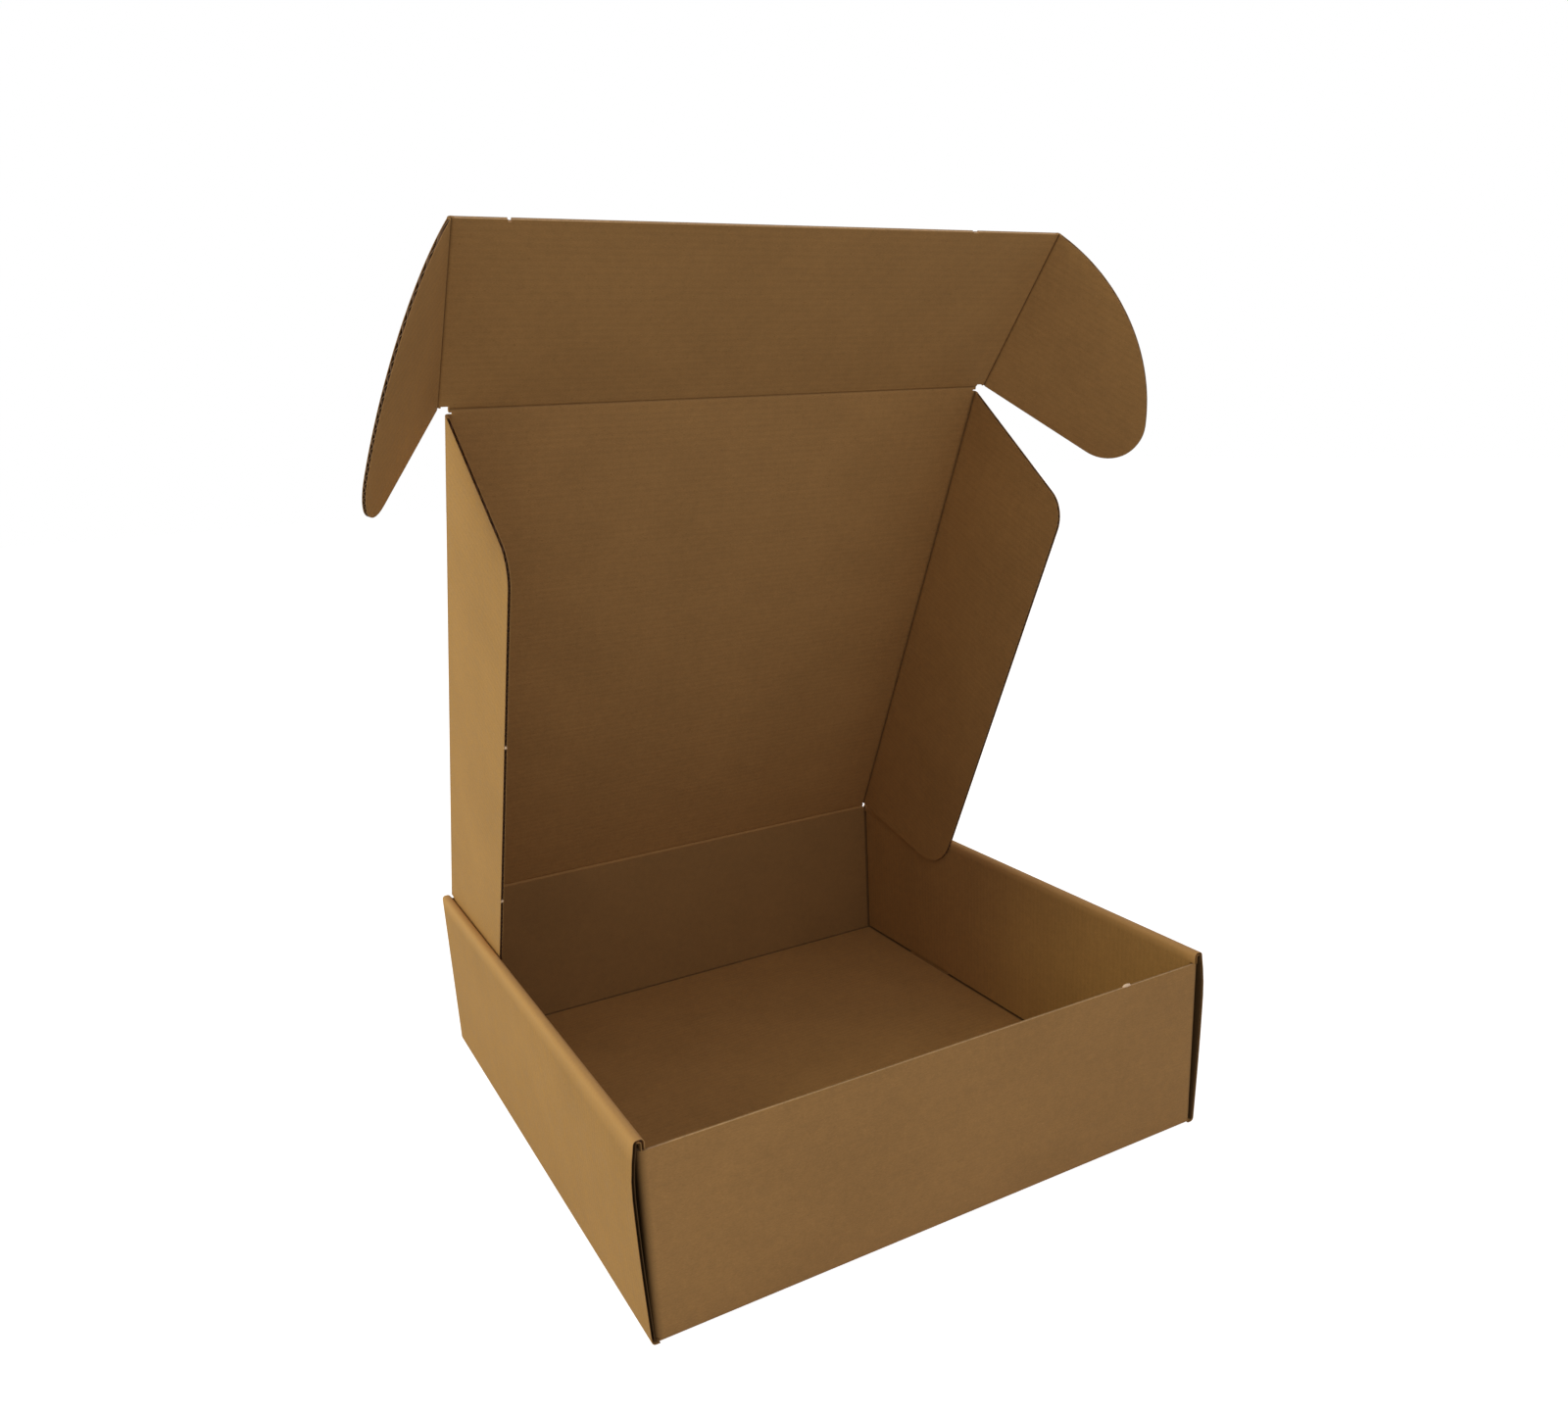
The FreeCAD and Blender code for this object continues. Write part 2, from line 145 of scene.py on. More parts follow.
def joint(name: str) -> dict:
    """The frame's joint of that name."""
    return next(item for item in frame["joints"] if item["name"] == name)


def turn_of(direction: Vector) -> float:
    """The turn about X that brings +Y onto a direction, in radians."""
    return math.atan2(direction.z, direction.y)


@dataclass(frozen=True)
class Stance:
    """Where each panel's axes lie, worked out from the frame's joints."""

    ear_fold: float = math.radians(57.0)
    dust_fold: float = math.radians(90.0)
    flat_to_upright: float = math.radians(90.0)

    @property
    def hinge(self) -> Vector:
        """A point on the lid's hinge, above the middle of the back wall."""
        return Vector(joint("lid_hinge")["pos_m"])

    @property
    def tuck_start(self) -> Vector:
        """A point on the tuck flap's crease."""
        return Vector(joint("tuck_crease")["pos_m"])

    @property
    def lid_length(self) -> float:
        """From the lid's hinge to the tuck flap's crease."""
        return (self.tuck_start - self.hinge).length

    @property
    def lid_turn(self) -> float:
        """The lid's turn about X from lying flat towards the back."""
        return turn_of(self.tuck_start - self.hinge)

    @property
    def tuck_turn(self) -> float:
        """The tuck flap's turn about X from lying flat towards the back."""
        return turn_of(Vector(joint("right_ear_crease")["axis"]))

    @property
    def ear_axis(self) -> float:
        """Distance of each ear's crease from the box's middle."""
        return abs(joint("right_ear_crease")["pos_m"][0])

    @property
    def dust_axis(self) -> float:
        """Distance of each dust flap's crease from the box's middle."""
        return abs(joint("right_dust_flap_crease")["pos_m"][0])

    def lid(self) -> Matrix:
        """The lid's axes: X across the box, Y towards the tuck flap."""
        return Matrix.Translation(self.hinge) @ Matrix.Rotation(self.lid_turn, 4, "X")

    def tuck(self) -> Matrix:
        """The tuck flap's axes: X across the box, Y towards its free edge."""
        return Matrix.Translation(self.tuck_start) @ Matrix.Rotation(self.tuck_turn, 4, "X")

    def ear_crease(self, side: Side) -> Matrix:
        """Axes of an ear's crease, in the tuck flap's plane."""
        mirror = Matrix.Diagonal((side.value, 1, 1, 1))
        return self.tuck() @ Matrix.Translation((side.value * self.ear_axis, 0, 0)) @ mirror

    def dust_crease(self, side: Side) -> Matrix:
        """Axes of a dust flap's crease, in the plane of the lid's inner face.

        Args:
            side: Which flap.

        Returns:
            The axes.
        """
        mirror = Matrix.Diagonal((side.value, 1, 1, 1))
        crease = Vector((side.value * self.dust_axis, 0, BOARD.half))
        return self.lid() @ Matrix.Translation(crease) @ mirror


STANCE = Stance()


def folded(angle: float) -> Matrix:
    """The turn that brings a panel's plane up towards its inner side."""
    return Matrix.Rotation(-angle, 4, "Y")


# Sheets of board, cut flat
def stations(start: float, stop: float, count: int) -> list[float]:
    """Evenly spaced places between two ends, without the ends.

    Args:
        start: One end.
        stop: The other end.
        count: How many spaces.

    Returns:
        The places between the spaces.
    """
    return [start + (stop - start) * step / count for step in range(1, count)]


def arc(centre: Point, radius: float, start: float, stop: float, count: int) -> list[Point]:
    """Points along an arc, with both ends.

    Args:
        centre: The arc's centre.
        radius: The arc's radius.
        start: First angle in radians.
        stop: Last angle in radians.
        count: How many chords.

    Returns:
        The points in order.
    """
    angles = [start, *stations(start, stop, count), stop]
    return [(centre[0] + radius * math.cos(angle), centre[1] + radius * math.sin(angle)) for angle in angles]


def everything(mesh: bmesh.types.BMesh) -> list:
    """All vertices, edges and faces of a mesh."""
    return mesh.verts[:] + mesh.edges[:] + mesh.faces[:]


@dataclass
class Sheet:
    """A flat piece of board on its way to becoming a panel.

    Attributes:
        low: Its lowest X and Y.
        high: Its highest X and Y.
        rows: How many strips it is divided into along Y.
    """

    low: Point
    high: Point
    rows: int = 1
    mesh: bmesh.types.BMesh = field(init=False)

    def __post_init__(self) -> None:
        """Lay out the flat sheet."""
        self.mesh = bmesh.new()
        size = Vector((self.high[0] - self.low[0], self.high[1] - self.low[1], 1.0))
        middle = Vector(((self.high[0] + self.low[0]) / 2, (self.high[1] + self.low[1]) / 2, 0.0))
        place = Matrix.Translation(middle) @ Matrix.Diagonal(size.to_4d())
        bmesh.ops.create_grid(self.mesh, x_segments=1, y_segments=self.rows, size=0.5, matrix=place)

    def cut(self, axis: int, places: Iterable[float]) -> "Sheet":
        """Cut straight across the sheet, and keep both sides.

        Args:
            axis: 0 for cuts at places along X, 1 along Y.
            places: Where the cuts lie.

        Returns:
            The sheet.
        """
        normal = Vector((1 - axis, axis, 0))
        for place in places:
            bmesh.ops.bisect_plane(self.mesh, geom=everything(self.mesh), dist=WELD,
                                   plane_co=normal * place, plane_no=normal)
        return self

    def trim(self, outline: list[Point]) -> "Sheet":
        """Cut the sheet to a convex outline.

        Args:
            outline: Its corners, anticlockwise.

        Returns:
            The sheet.
        """
        corners = [Vector((*corner, 0)) for corner in outline]
        for here, there in zip(corners, corners[1:] + corners[:1]):
            run = there - here
            if run.length > NEAR:
                bmesh.ops.bisect_plane(self.mesh, geom=everything(self.mesh), dist=WELD, plane_co=here,
                                       plane_no=Vector((run.y, -run.x, 0)), clear_outer=True)
        return self

    def punch(self, low: Point, high: Point) -> "Sheet":
        """Cut a rectangle out of the sheet.

        Args:
            low: The rectangle's lowest X and Y.
            high: Its highest X and Y.

        Returns:
            The sheet.
        """
        self.cut(0, (low[0], high[0])).cut(1, (low[1], high[1]))
        inside = []
        for face in self.mesh.faces:
            centre = face.calc_center_median()
            if low[0] < centre.x < high[0] and low[1] < centre.y < high[1]:
                inside.append(face)
        bmesh.ops.delete(self.mesh, geom=inside, context="FACES")
        return self

    def thicken(self, low: float, high: float) -> bmesh.types.BMesh:
        """Give the sheet its thickness.

        Args:
            low: Height of its lower face.
            high: Height of its upper face.

        Returns:
            The closed mesh.
        """
        bmesh.ops.translate(self.mesh, verts=self.mesh.verts[:], vec=(0, 0, low))
        grown = bmesh.ops.extrude_face_region(self.mesh, geom=self.mesh.faces[:])["geom"]
        raised = [item for item in grown if isinstance(item, bmesh.types.BMVert)]
        bmesh.ops.translate(self.mesh, verts=raised, vec=(0, 0, high - low))
        bmesh.ops.recalc_face_normals(self.mesh, faces=self.mesh.faces[:])
        return self.mesh

    def corrugate(self, middle: float) -> bmesh.types.BMesh:
        """Wave the sheet between its two liners.

        Args:
            middle: Height of the board's middle.

        Returns:
            The closed mesh of the waved paper.
        """
        swing = BOARD.half - BOARD.liner - BOARD.medium / 2
        for vertex in self.mesh.verts:
            phase = 2 * math.pi * vertex.co.y / BOARD.pitch
            vertex.co.z = middle + BOARD.medium / 2 + swing * math.sin(phase)
        bmesh.ops.solidify(self.mesh, geom=self.mesh.faces[:], thickness=BOARD.medium)
        bmesh.ops.recalc_face_normals(self.mesh, faces=self.mesh.faces[:])
        return self.mesh


@dataclass(frozen=True)
class Run:
    """A stretch of a folded sheet: its middle's length and the angle that it turns through to the left."""

    length: float
    turn: float = 0.0


@dataclass(frozen=True)
class FoldedPath:
    """The section of a folded sheet.

    Attributes:
        start: Where the sheet's middle begins.
        heading: Direction in which it begins, in radians.
        runs: Its stretches, in order.
    """

    start: Point
    heading: float
    runs: tuple[Run, ...]

    @property
    def length(self) -> float:
        """The sheet's whole length."""
        return sum(run.length for run in self.runs)

    def reach(self, count: int) -> float:
        """Length of the first stretches."""
        return sum(run.length for run in self.runs[:count])

    def place(self, distance: float, height: float) -> Point:
        """Where a point of the flat sheet comes to lie.

        Args:
            distance: Along the sheet's middle.
            height: To the left of the middle.

        Returns:
            The point in the section's plane.
        """
        across, up = self.start
        heading = self.heading
        for run in self.runs:
            step = min(distance, run.length)
            if run.turn:
                radius = run.length / run.turn
                after = heading + step / radius
                across += radius * (math.sin(after) - math.sin(heading))
                up += radius * (math.cos(heading) - math.cos(after))
                heading = after
            else:
                across += step * math.cos(heading)
                up += step * math.sin(heading)
            distance -= step
            if distance <= 0:
                break
        return across - height * math.sin(heading), up + height * math.cos(heading)

    def cuts(self, steps: int = 5) -> list[float]:
        """Places where a flat sheet needs lines before it can be folded.

        Args:
            steps: How many strips each fold gets.

        Returns:
            The places along the sheet.
        """
        places, done = [], 0.0
        for run in self.runs:
            if run.turn:
                places += [done, *stations(done, done + run.length, steps), done + run.length]
            done += run.length
        return places


class Piece:
    """One object of the scene, put together from board layers."""

    def __init__(self, name: str) -> None:
        """Start an empty piece.

        Args:
            name: The finished object's name.
        """
        self.name = name
        self.mesh = bmesh.new()

    def add(self, part: bmesh.types.BMesh, paper: Paper = Paper.LINER) -> None:
        """Take in a part's mesh, and free it.

        Args:
            part: The part's mesh.
            paper: What its faces show.
        """
        for face in part.faces:
            face.material_index = paper.value
        copy = bpy.data.meshes.new("part")
        part.to_mesh(copy)
        part.free()
        self.mesh.from_mesh(copy)
        bpy.data.meshes.remove(copy)

    def lay(self, place: Matrix) -> "Piece":
        """Move the piece to its place, and turn its faces outwards where that mirrors it.

        Args:
            place: The panel's axes.

        Returns:
            The piece.
        """
        self.mesh.transform(place)
        if place.determinant() < 0:
            bmesh.ops.reverse_faces(self.mesh, faces=self.mesh.faces[:])
        return self

    def shape(self, rule: Rule, painted_shading: PaintedShading | None = None) -> "Piece":
        """Move every vertex by a rule.

        Args:
            rule: Where a point of the flat piece goes.
            painted_shading: How much shade is painted on a point of the flat piece, from 0 to 1, or how much
                highlight is painted on it, down to -1.

        Returns:
            The piece.
        """
        if painted_shading is not None:
            layer = self.mesh.verts.layers.float.new(PAINTED_SHADING_LAYER)
            for vertex in self.mesh.verts:
                vertex[layer] = painted_shading(vertex.co)
        for vertex in self.mesh.verts:
            vertex.co = rule(vertex.co)
        return self

    def finish(self, finish: "KraftFinish") -> bpy.types.Object:
        """Turn the piece into an object.

        Args:
            finish: What its papers look like.

        Returns:
            The object, in place, with its materials.
        """
        data = bpy.data.meshes.new(self.name)
        self.mesh.to_mesh(data)
        self.mesh.free()
        data.materials.append(finish.liner())
        data.materials.append(finish.medium())
        data.materials.append(finish.cut())
        data.shade_smooth()
        data.set_sharp_from_angle(angle=SHARP_ANGLE)
        item = bpy.data.objects.new(self.name, data)
        bpy.context.scene.collection.objects.link(item)
        LOG.info("%s: %d faces", self.name, len(data.polygons))
        return item


# Finishes
@dataclass(frozen=True)
class Mottle:
    """One layer of a paper's unevenness.

    Attributes:
        scale: How fine it is.
        detail: How many finer layers ride on it.
        share: How far it shades the paper.
        stretch: How it is squeezed along the panel's axes.
    """

    scale: float
    detail: float
    share: float = 0.0
    stretch: Triple = (1.0, 1.0, 1.0)


@dataclass(frozen=True)
class Specks:
    """Sparse spots in the paper.

    Attributes:
        mottle: The unevenness whose peaks they are.
        low: Where a spot starts to show.
        high: Where it shows in full.
        factor: How much paler or darker than the paper it is.
        lift: What is added to its tone.
        cover: How much of the paper it hides.
        shift: Offset of the pattern.
    """

    mottle: Mottle
    low: float
    high: float
    factor: float
    cover: float
    lift: float = 0.0
    shift: float = 0.0


CLOUDS = Mottle(22, 3, 0.13)
FORMATION = Mottle(240, 4, 0.13)
STREAKS = Mottle(1400, 2, 0.065, (0.03, 1.0, 1.0))
FIBRES = Mottle(2600, 3, 0.2, (0.35, 1.0, 1.0))
DARK_SPECKS = Specks(Mottle(1100, 1, stretch=(0.6, 1.0, 1.0)), 0.70, 0.77, 0.6, 0.5)
PALE_SPECKS = Specks(Mottle(1400, 1, stretch=(0.6, 1.0, 1.0)), 0.72, 0.78, 1.35, 0.45, 0.015, 7.3)


def shaded(tone: Triple, factor: float, lift: float = 0.0) -> Triple:
    """A tone made darker or paler, up to white."""
    return tuple(min(1.0, factor * part + lift) for part in tone)


@dataclass(frozen=True)
class KraftFinish:
    """Unbleached kraft paper over flutes that run along the finish's own X axis.

    Attributes:
        name: The material's name.
        place: The panel's axes. The pattern follows their turn.
        tone: Linear colour of the liner.
        waved_tone_and_shade: Linear colour of the waved paper, darkened with painted shade for the hollows
            between its flutes.
        cut_tone: Linear colour of the broken fibres on a crushed cut.
        flute_share: How far the flutes shade the liner.
        crease_shade_factor: How dark the shade painted along a crease line is beside its paper.
        crease_shade_cover: How much of the paper it hides.
        fold_highlight_factor: How pale the highlight painted on a fold is beside its paper.
        fold_highlight_lift: What is added to its tone.
        roughness: Roughness of the paper, about which it varies.
        relief: Depth of the paper's bumps.
    """

    name: str
    place: Matrix
    tone: Triple = (0.43, 0.243, 0.083)
    # Darker than the waved paper itself: painted shade for the hollows between the flutes
    waved_tone_and_shade: Triple = (0.13, 0.07, 0.035)
    cut_tone: Triple = (0.6, 0.4, 0.2)
    flute_share: float = 0.02
    crease_shade_factor: float = 0.16
    crease_shade_cover: float = 0.9
    fold_highlight_factor: float = 1.5
    fold_highlight_lift: float = 0.03
    roughness: float = 0.8
    relief: float = 0.00006

    def liner(self) -> bpy.types.Material:
        """The smooth outer paper: clouded, speckled, and faintly ridged over the flutes."""
        return self.paper(f"{self.name}_liner", self.tone, 1.0)

    def medium(self) -> bpy.types.Material:
        """The rougher waved paper, darkened with painted shade for its hollows."""
        return self.paper(f"{self.name}_medium", self.waved_tone_and_shade, 2.0)

    def cut(self) -> bpy.types.Material:
        """The pale fibres of a crushed cut."""
        return self.paper(f"{self.name}_cut", self.cut_tone, 2.0)

    def paper(self, name: str, tone: Triple, grain: float) -> bpy.types.Material:
        """One paper's material.

        Args:
            name: The material's name.
            tone: Its linear colour.
            grain: How strongly its fibres show.

        Returns:
            The material, made once for each name.
        """
        if name in bpy.data.materials:
            return bpy.data.materials[name]
        material = bpy.data.materials.new(name)
        material.use_nodes = True
        graph = Graph(material.node_tree)
        spot = graph.turned_place(self.place)
        clouds = graph.noise(spot, CLOUDS)
        formation = graph.noise(spot, FORMATION)
        streaks = graph.noise(spot, STREAKS)
        fibres = graph.noise(spot, FIBRES)
        flutes = graph.flutes(spot, BOARD.pitch)
        shade = graph.total([
            (clouds, CLOUDS.share), (formation, FORMATION.share * grain), (streaks, STREAKS.share),
            (fibres, FIBRES.share * grain), (flutes, self.flute_share),
        ], 1.0)
        colour = graph.scaled_colour(tone, shade)
        for specks in (DARK_SPECKS, PALE_SPECKS):
            spotted = shaded(tone, specks.factor, specks.lift)
            colour = graph.mixed(graph.specks(spot, specks), colour, spotted, specks.cover)
        # Painted shade in creases, recesses and gaps, then painted highlight on the folds, both read from the
        # vertex layer
        depth = graph.painted_shading_mask()
        colour = graph.mixed(depth, colour, shaded(tone, self.crease_shade_factor), self.crease_shade_cover)
        painted_highlight = graph.math("MULTIPLY", depth, -1.0)
        colour = graph.mixed(painted_highlight, colour, shaded(tone, self.fold_highlight_factor, self.fold_highlight_lift), 1.0)
        height = graph.total([(flutes, 0.2), (formation, 0.35), (fibres, 0.45)], 0.5)
        rough = graph.total([(formation, 0.18), (streaks, 0.1)], self.roughness)
        graph.surface(colour, rough, height, self.relief)
        return material


class Graph:
    """Short ways to wire up a material's nodes."""

    def __init__(self, tree: bpy.types.NodeTree) -> None:
        """Take a material's node tree with its first shader."""
        self.tree = tree
        self.shader = next(node for node in tree.nodes if node.type == "BSDF_PRINCIPLED")

    def node(self, kind: str, **settings: object) -> bpy.types.Node:
        """Add a node.

        Args:
            kind: The node's type.
            **settings: Its properties.

        Returns:
            The node.
        """
        made = self.tree.nodes.new(kind)
        for name, value in settings.items():
            setattr(made, name, value)
        return made

    def link(self, source: Socket, target: Socket) -> None:
        """Join an output to an input."""
        self.tree.links.new(source, target)

    def turned_place(self, place: Matrix) -> Socket:
        """Object coordinates turned into a panel's own axes.

        Args:
            place: The panel's axes.

        Returns:
            The coordinates.
        """
        source = self.node("ShaderNodeTexCoord")
        turned = self.node("ShaderNodeMapping")
        turned.inputs["Rotation"].default_value = place.to_3x3().normalized().inverted().to_euler()
        self.link(source.outputs["Object"], turned.inputs["Vector"])
        return turned.outputs["Vector"]

    def noise(self, spot: Socket, mottle: Mottle, shift: float = 0.0) -> Socket:
        """A value that varies about one half.

        Args:
            spot: Where it is read.
            mottle: How fine it is, and how drawn out.
            shift: Offset of the pattern.

        Returns:
            The value.
        """
        mapped = self.node("ShaderNodeMapping")
        mapped.inputs["Scale"].default_value = mottle.stretch
        mapped.inputs["Location"].default_value = (shift, shift, shift)
        self.link(spot, mapped.inputs["Vector"])
        made = self.node("ShaderNodeTexNoise")
        made.inputs["Scale"].default_value = mottle.scale
        made.inputs["Detail"].default_value = mottle.detail
        self.link(mapped.outputs["Vector"], made.inputs["Vector"])
        return made.outputs["Fac"]

    def flutes(self, spot: Socket, pitch: float) -> Socket:
        """A wave across the flutes.

        Args:
            spot: Where it is read.
            pitch: Length of one wave.

        Returns:
            The wave, from 0 to 1.
        """
        wave = self.node("ShaderNodeTexWave", wave_type="BANDS", bands_direction="Y", wave_profile="SIN")
        # The node's wave repeats every pi / 10 of its scaled coordinate
        wave.inputs["Scale"].default_value = math.pi / (10 * pitch)
        self.link(spot, wave.inputs["Vector"])
        return wave.outputs["Fac"]

    def specks(self, spot: Socket, specks: Specks) -> Socket:
        """Sparse spots.

        Args:
            spot: Where they are read.
            specks: How fine and how sparse they are.

        Returns:
            A mask, 1 inside a spot and 0 outside.
        """
        spread = self.node("ShaderNodeMapRange", interpolation_type="SMOOTHSTEP")
        spread.inputs["From Min"].default_value = specks.low
        spread.inputs["From Max"].default_value = specks.high
        self.link(self.noise(spot, specks.mottle, specks.shift), spread.inputs["Value"])
        return spread.outputs["Result"]

    def painted_shading_mask(self) -> Socket:
        """The shade painted on the surface, from 0 to 1, or below zero the highlight painted on it."""
        made = self.node("ShaderNodeAttribute", attribute_type="GEOMETRY", attribute_name=PAINTED_SHADING_LAYER)
        return made.outputs["Fac"]

    def math(self, operation: str, first: Socket, second: float) -> Socket:
        """A sum, difference or product with a number.

        Args:
            operation: Which of them, in the node's word.
            first: The value.
            second: The number.

        Returns:
            The result.
        """
        made = self.node("ShaderNodeMath", operation=operation)
        made.inputs[1].default_value = second
        self.link(first, made.inputs[0])
        return made.outputs[0]

    def total(self, parts: list[tuple[Socket, float]], middle: float) -> Socket:
        """A number that varies about a middle.

        Args:
            parts: Values that vary about one half, each with how far it sways the number.
            middle: The middle.

        Returns:
            The number.
        """
        running = None
        for value, share in parts:
            term = self.math("MULTIPLY", self.math("SUBTRACT", value, 0.5), share * 2)
            if running is None:
                running = self.math("ADD", term, middle)
                continue
            joined = self.node("ShaderNodeMath", operation="ADD")
            self.link(running, joined.inputs[0])
            self.link(term, joined.inputs[1])
            running = joined.outputs[0]
        return running

    def scaled_colour(self, tone: Triple, shade: Socket) -> Socket:
        """A colour made lighter or darker.

        Args:
            tone: The colour.
            shade: The factor.

        Returns:
            The result.
        """
        made = self.node("ShaderNodeVectorMath", operation="SCALE")
        made.inputs[0].default_value = tone
        self.link(shade, made.inputs["Scale"])
        return made.outputs["Vector"]

    def mixed(self, mask: Socket, colour: Socket, other: Triple, most: float) -> Socket:
        """A colour with another one laid over it.

        Args:
            mask: Where the other one lies, from 0 to 1.
            colour: The colour below.
            other: The one above.
            most: How much of the colour below it hides at most.

        Returns:
            The result.
        """
        made = self.node("ShaderNodeMix", data_type="RGBA")
        self.link(self.math("MULTIPLY", mask, most), made.inputs["Factor"])
        self.link(colour, made.inputs["A"])
        made.inputs["B"].default_value = (*other, 1.0)
        return made.outputs["Result"]

    def surface(self, colour: Socket, rough: Socket, height: Socket, depth: float) -> None:
        """Join the shader's inputs.

        Args:
            colour: The surface's colour.
            rough: Its roughness.
            height: Its bumps, from 0 to 1.
            depth: How deep they are.
        """
        bump = self.node("ShaderNodeBump")
        bump.inputs["Strength"].default_value = 1.0
        bump.inputs["Distance"].default_value = depth
        self.link(height, bump.inputs["Height"])
        self.link(bump.outputs["Normal"], self.shader.inputs["Normal"])
        self.link(colour, self.shader.inputs["Base Color"])
        self.link(rough, self.shader.inputs["Roughness"])
        self.shader.inputs["Specular IOR Level"].default_value = 0.2


# The flutes run along X in the sheet as cut, so they stand upright in the side walls
ACROSS_THE_BOX = KraftFinish("level", Matrix.Identity(4))
UP_THE_SIDES = KraftFinish("upright", Matrix.Rotation(math.radians(90), 4, "Y"))
ON_THE_LID = KraftFinish("lid", STANCE.lid())
ON_THE_TUCK = KraftFinish("tuck", STANCE.tuck())


def facing_finish(name: str, place: Matrix) -> KraftFinish:
    """A finish whose pattern follows a panel's own axes.

    Args:
        name: The material's name.
        place: The panel's axes, mirrored or not.

    Returns:
        The finish.
    """
    unmirrored = place.to_3x3()
    if unmirrored.determinant() < 0:
        unmirrored = unmirrored @ Matrix.Diagonal((-1, 1, 1))
    return KraftFinish(name, unmirrored.to_4x4())


# Crease strips between panels
@dataclass(frozen=True)
class Crease:
    """A soft crease between two panels, modelled as the strip of board that bends.

    Attributes:
        name: The finished object's name.
        parent: The body that the strip starts on. Not used.
        child: The body that it ends on. Not used.
        place: Axes of the crease, in the parent's plane.
        angle: How far it is folded at rest, in radians.
        outline: The flat strip's corners, anticlockwise.
        low: Height of the strip's outer face above the crease's axis.
        high: Height of its inner face.
        groove: Depth of the crease line pressed into the inner face.
        painted_shading: How dark the shade painted along the line is, from 0 to 1.
        rows: How many strips it is divided into along the crease.
        strips: How many across it.
    """

    name: str
    parent: str
    child: str
    place: Matrix
    angle: float
    outline: list[Point]
    low: float = -BOARD.half
    high: float = BOARD.half
    groove: float = 0.0003
    painted_shading: float = 0.8
    rows: int = 24
    strips: int = 16

    def shadow(self, spot: Vector) -> float:
        """How much shade is painted on a point of the flat strip, along the crease line on its inner face."""
        on_inner_face = abs(spot.z - self.high) < NEAR
        return self.painted_shading * math.exp(-((spot.x / BOARD.groove_half) ** 2)) if on_inner_face else 0.0

    def bend(self, spot: Vector) -> Vector:
        """Where a point of the flat strip comes to lie.

        Args:
            spot: The point, X across the crease.

        Returns:
            Its place in the crease's axes.
        """
        share = min(max((spot.x + BOARD.crease_half) / (2 * BOARD.crease_half), 0.0), 1.0)
        turn = self.angle * share * share * (3 - 2 * share)
        height = spot.z
        if abs(height - self.high) < NEAR:
            height -= self.groove * math.exp(-((spot.x / BOARD.groove_half) ** 2))
        across = spot.x * math.cos(turn) - height * math.sin(turn)
        up = spot.x * math.sin(turn) + height * math.cos(turn)
        return Vector((across, spot.y, up))

    def build(self, finish: KraftFinish) -> bpy.types.Object:
        """Make the strip, bent to its rest angle.

        Args:
            finish: The finish of the panel that it starts on.

        Returns:
            The object.
        """
        ends = [corner[1] for corner in self.outline]
        half = BOARD.crease_half
        sheet = Sheet((-half, min(ends)), (half, max(ends)), self.rows)
        sheet.cut(0, stations(-half, half, self.strips)).trim(self.outline)
        piece = Piece(self.name)
        piece.add(sheet.thicken(self.low, self.high))
        piece.shape(self.bend, self.shadow).lay(self.place)
        item = piece.finish(finish)
        middle = (self.low + self.high) / 2
        start = self.place @ self.bend(Vector((-half, 0, middle)))
        end = self.place @ self.bend(Vector((half, 0, middle)))
        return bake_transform(item)


# Moving panels
@dataclass
class Flap:
    """An ear or a dust flap: a panel whose flute ends show along its outer edge.

    Attributes:
        name: The finished object's name.
        node: The solid that it stands for, and the body that it rides on.
        outline: The panel's corners in its own plane, anticlockwise.
        middle: Height of the board's middle above the crease's axis.
        steps_per_flute: How finely the waved paper is divided.
        liner_rows: How many strips a liner is divided into.
        waved_tone_and_shade: Linear colour of the waved paper, as its ends show, with the shade of their
            hollows painted in.
    """

    name: str
    node: str
    outline: list[Point]
    middle: float = 0.0
    steps_per_flute: int = 10
    liner_rows: int = 12
    waved_tone_and_shade: Triple = KraftFinish.waved_tone_and_shade

    def build(self, place: Matrix) -> bpy.types.Object:
        """Make both liners and the waved paper between them.

        Args:
            place: The panel's axes, folded.

        Returns:
            The object, which stands for its solid.
        """
        low = (min(x for x, _ in self.outline), min(y for _, y in self.outline))
        high = (max(x for x, _ in self.outline), max(y for _, y in self.outline))
        piece = Piece(self.name)
        outer, inner = self.middle - BOARD.half, self.middle + BOARD.half
        for bottom, top in ((outer, outer + BOARD.liner), (inner - BOARD.liner, inner)):
            piece.add(Sheet(low, high, self.liner_rows).trim(self.outline).thicken(bottom, top))
        rows = round((high[1] - low[1]) / BOARD.pitch * self.steps_per_flute)
        waved = Sheet(low, high, rows=rows).trim(self.outline).corrugate(self.middle)
        piece.add(waved, Paper.MEDIUM)
        finish = replace(facing_finish(self.name, place), waved_tone_and_shade=self.waved_tone_and_shade)
        item = piece.lay(place).finish(finish)
        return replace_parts(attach(item, self.node), self.node)


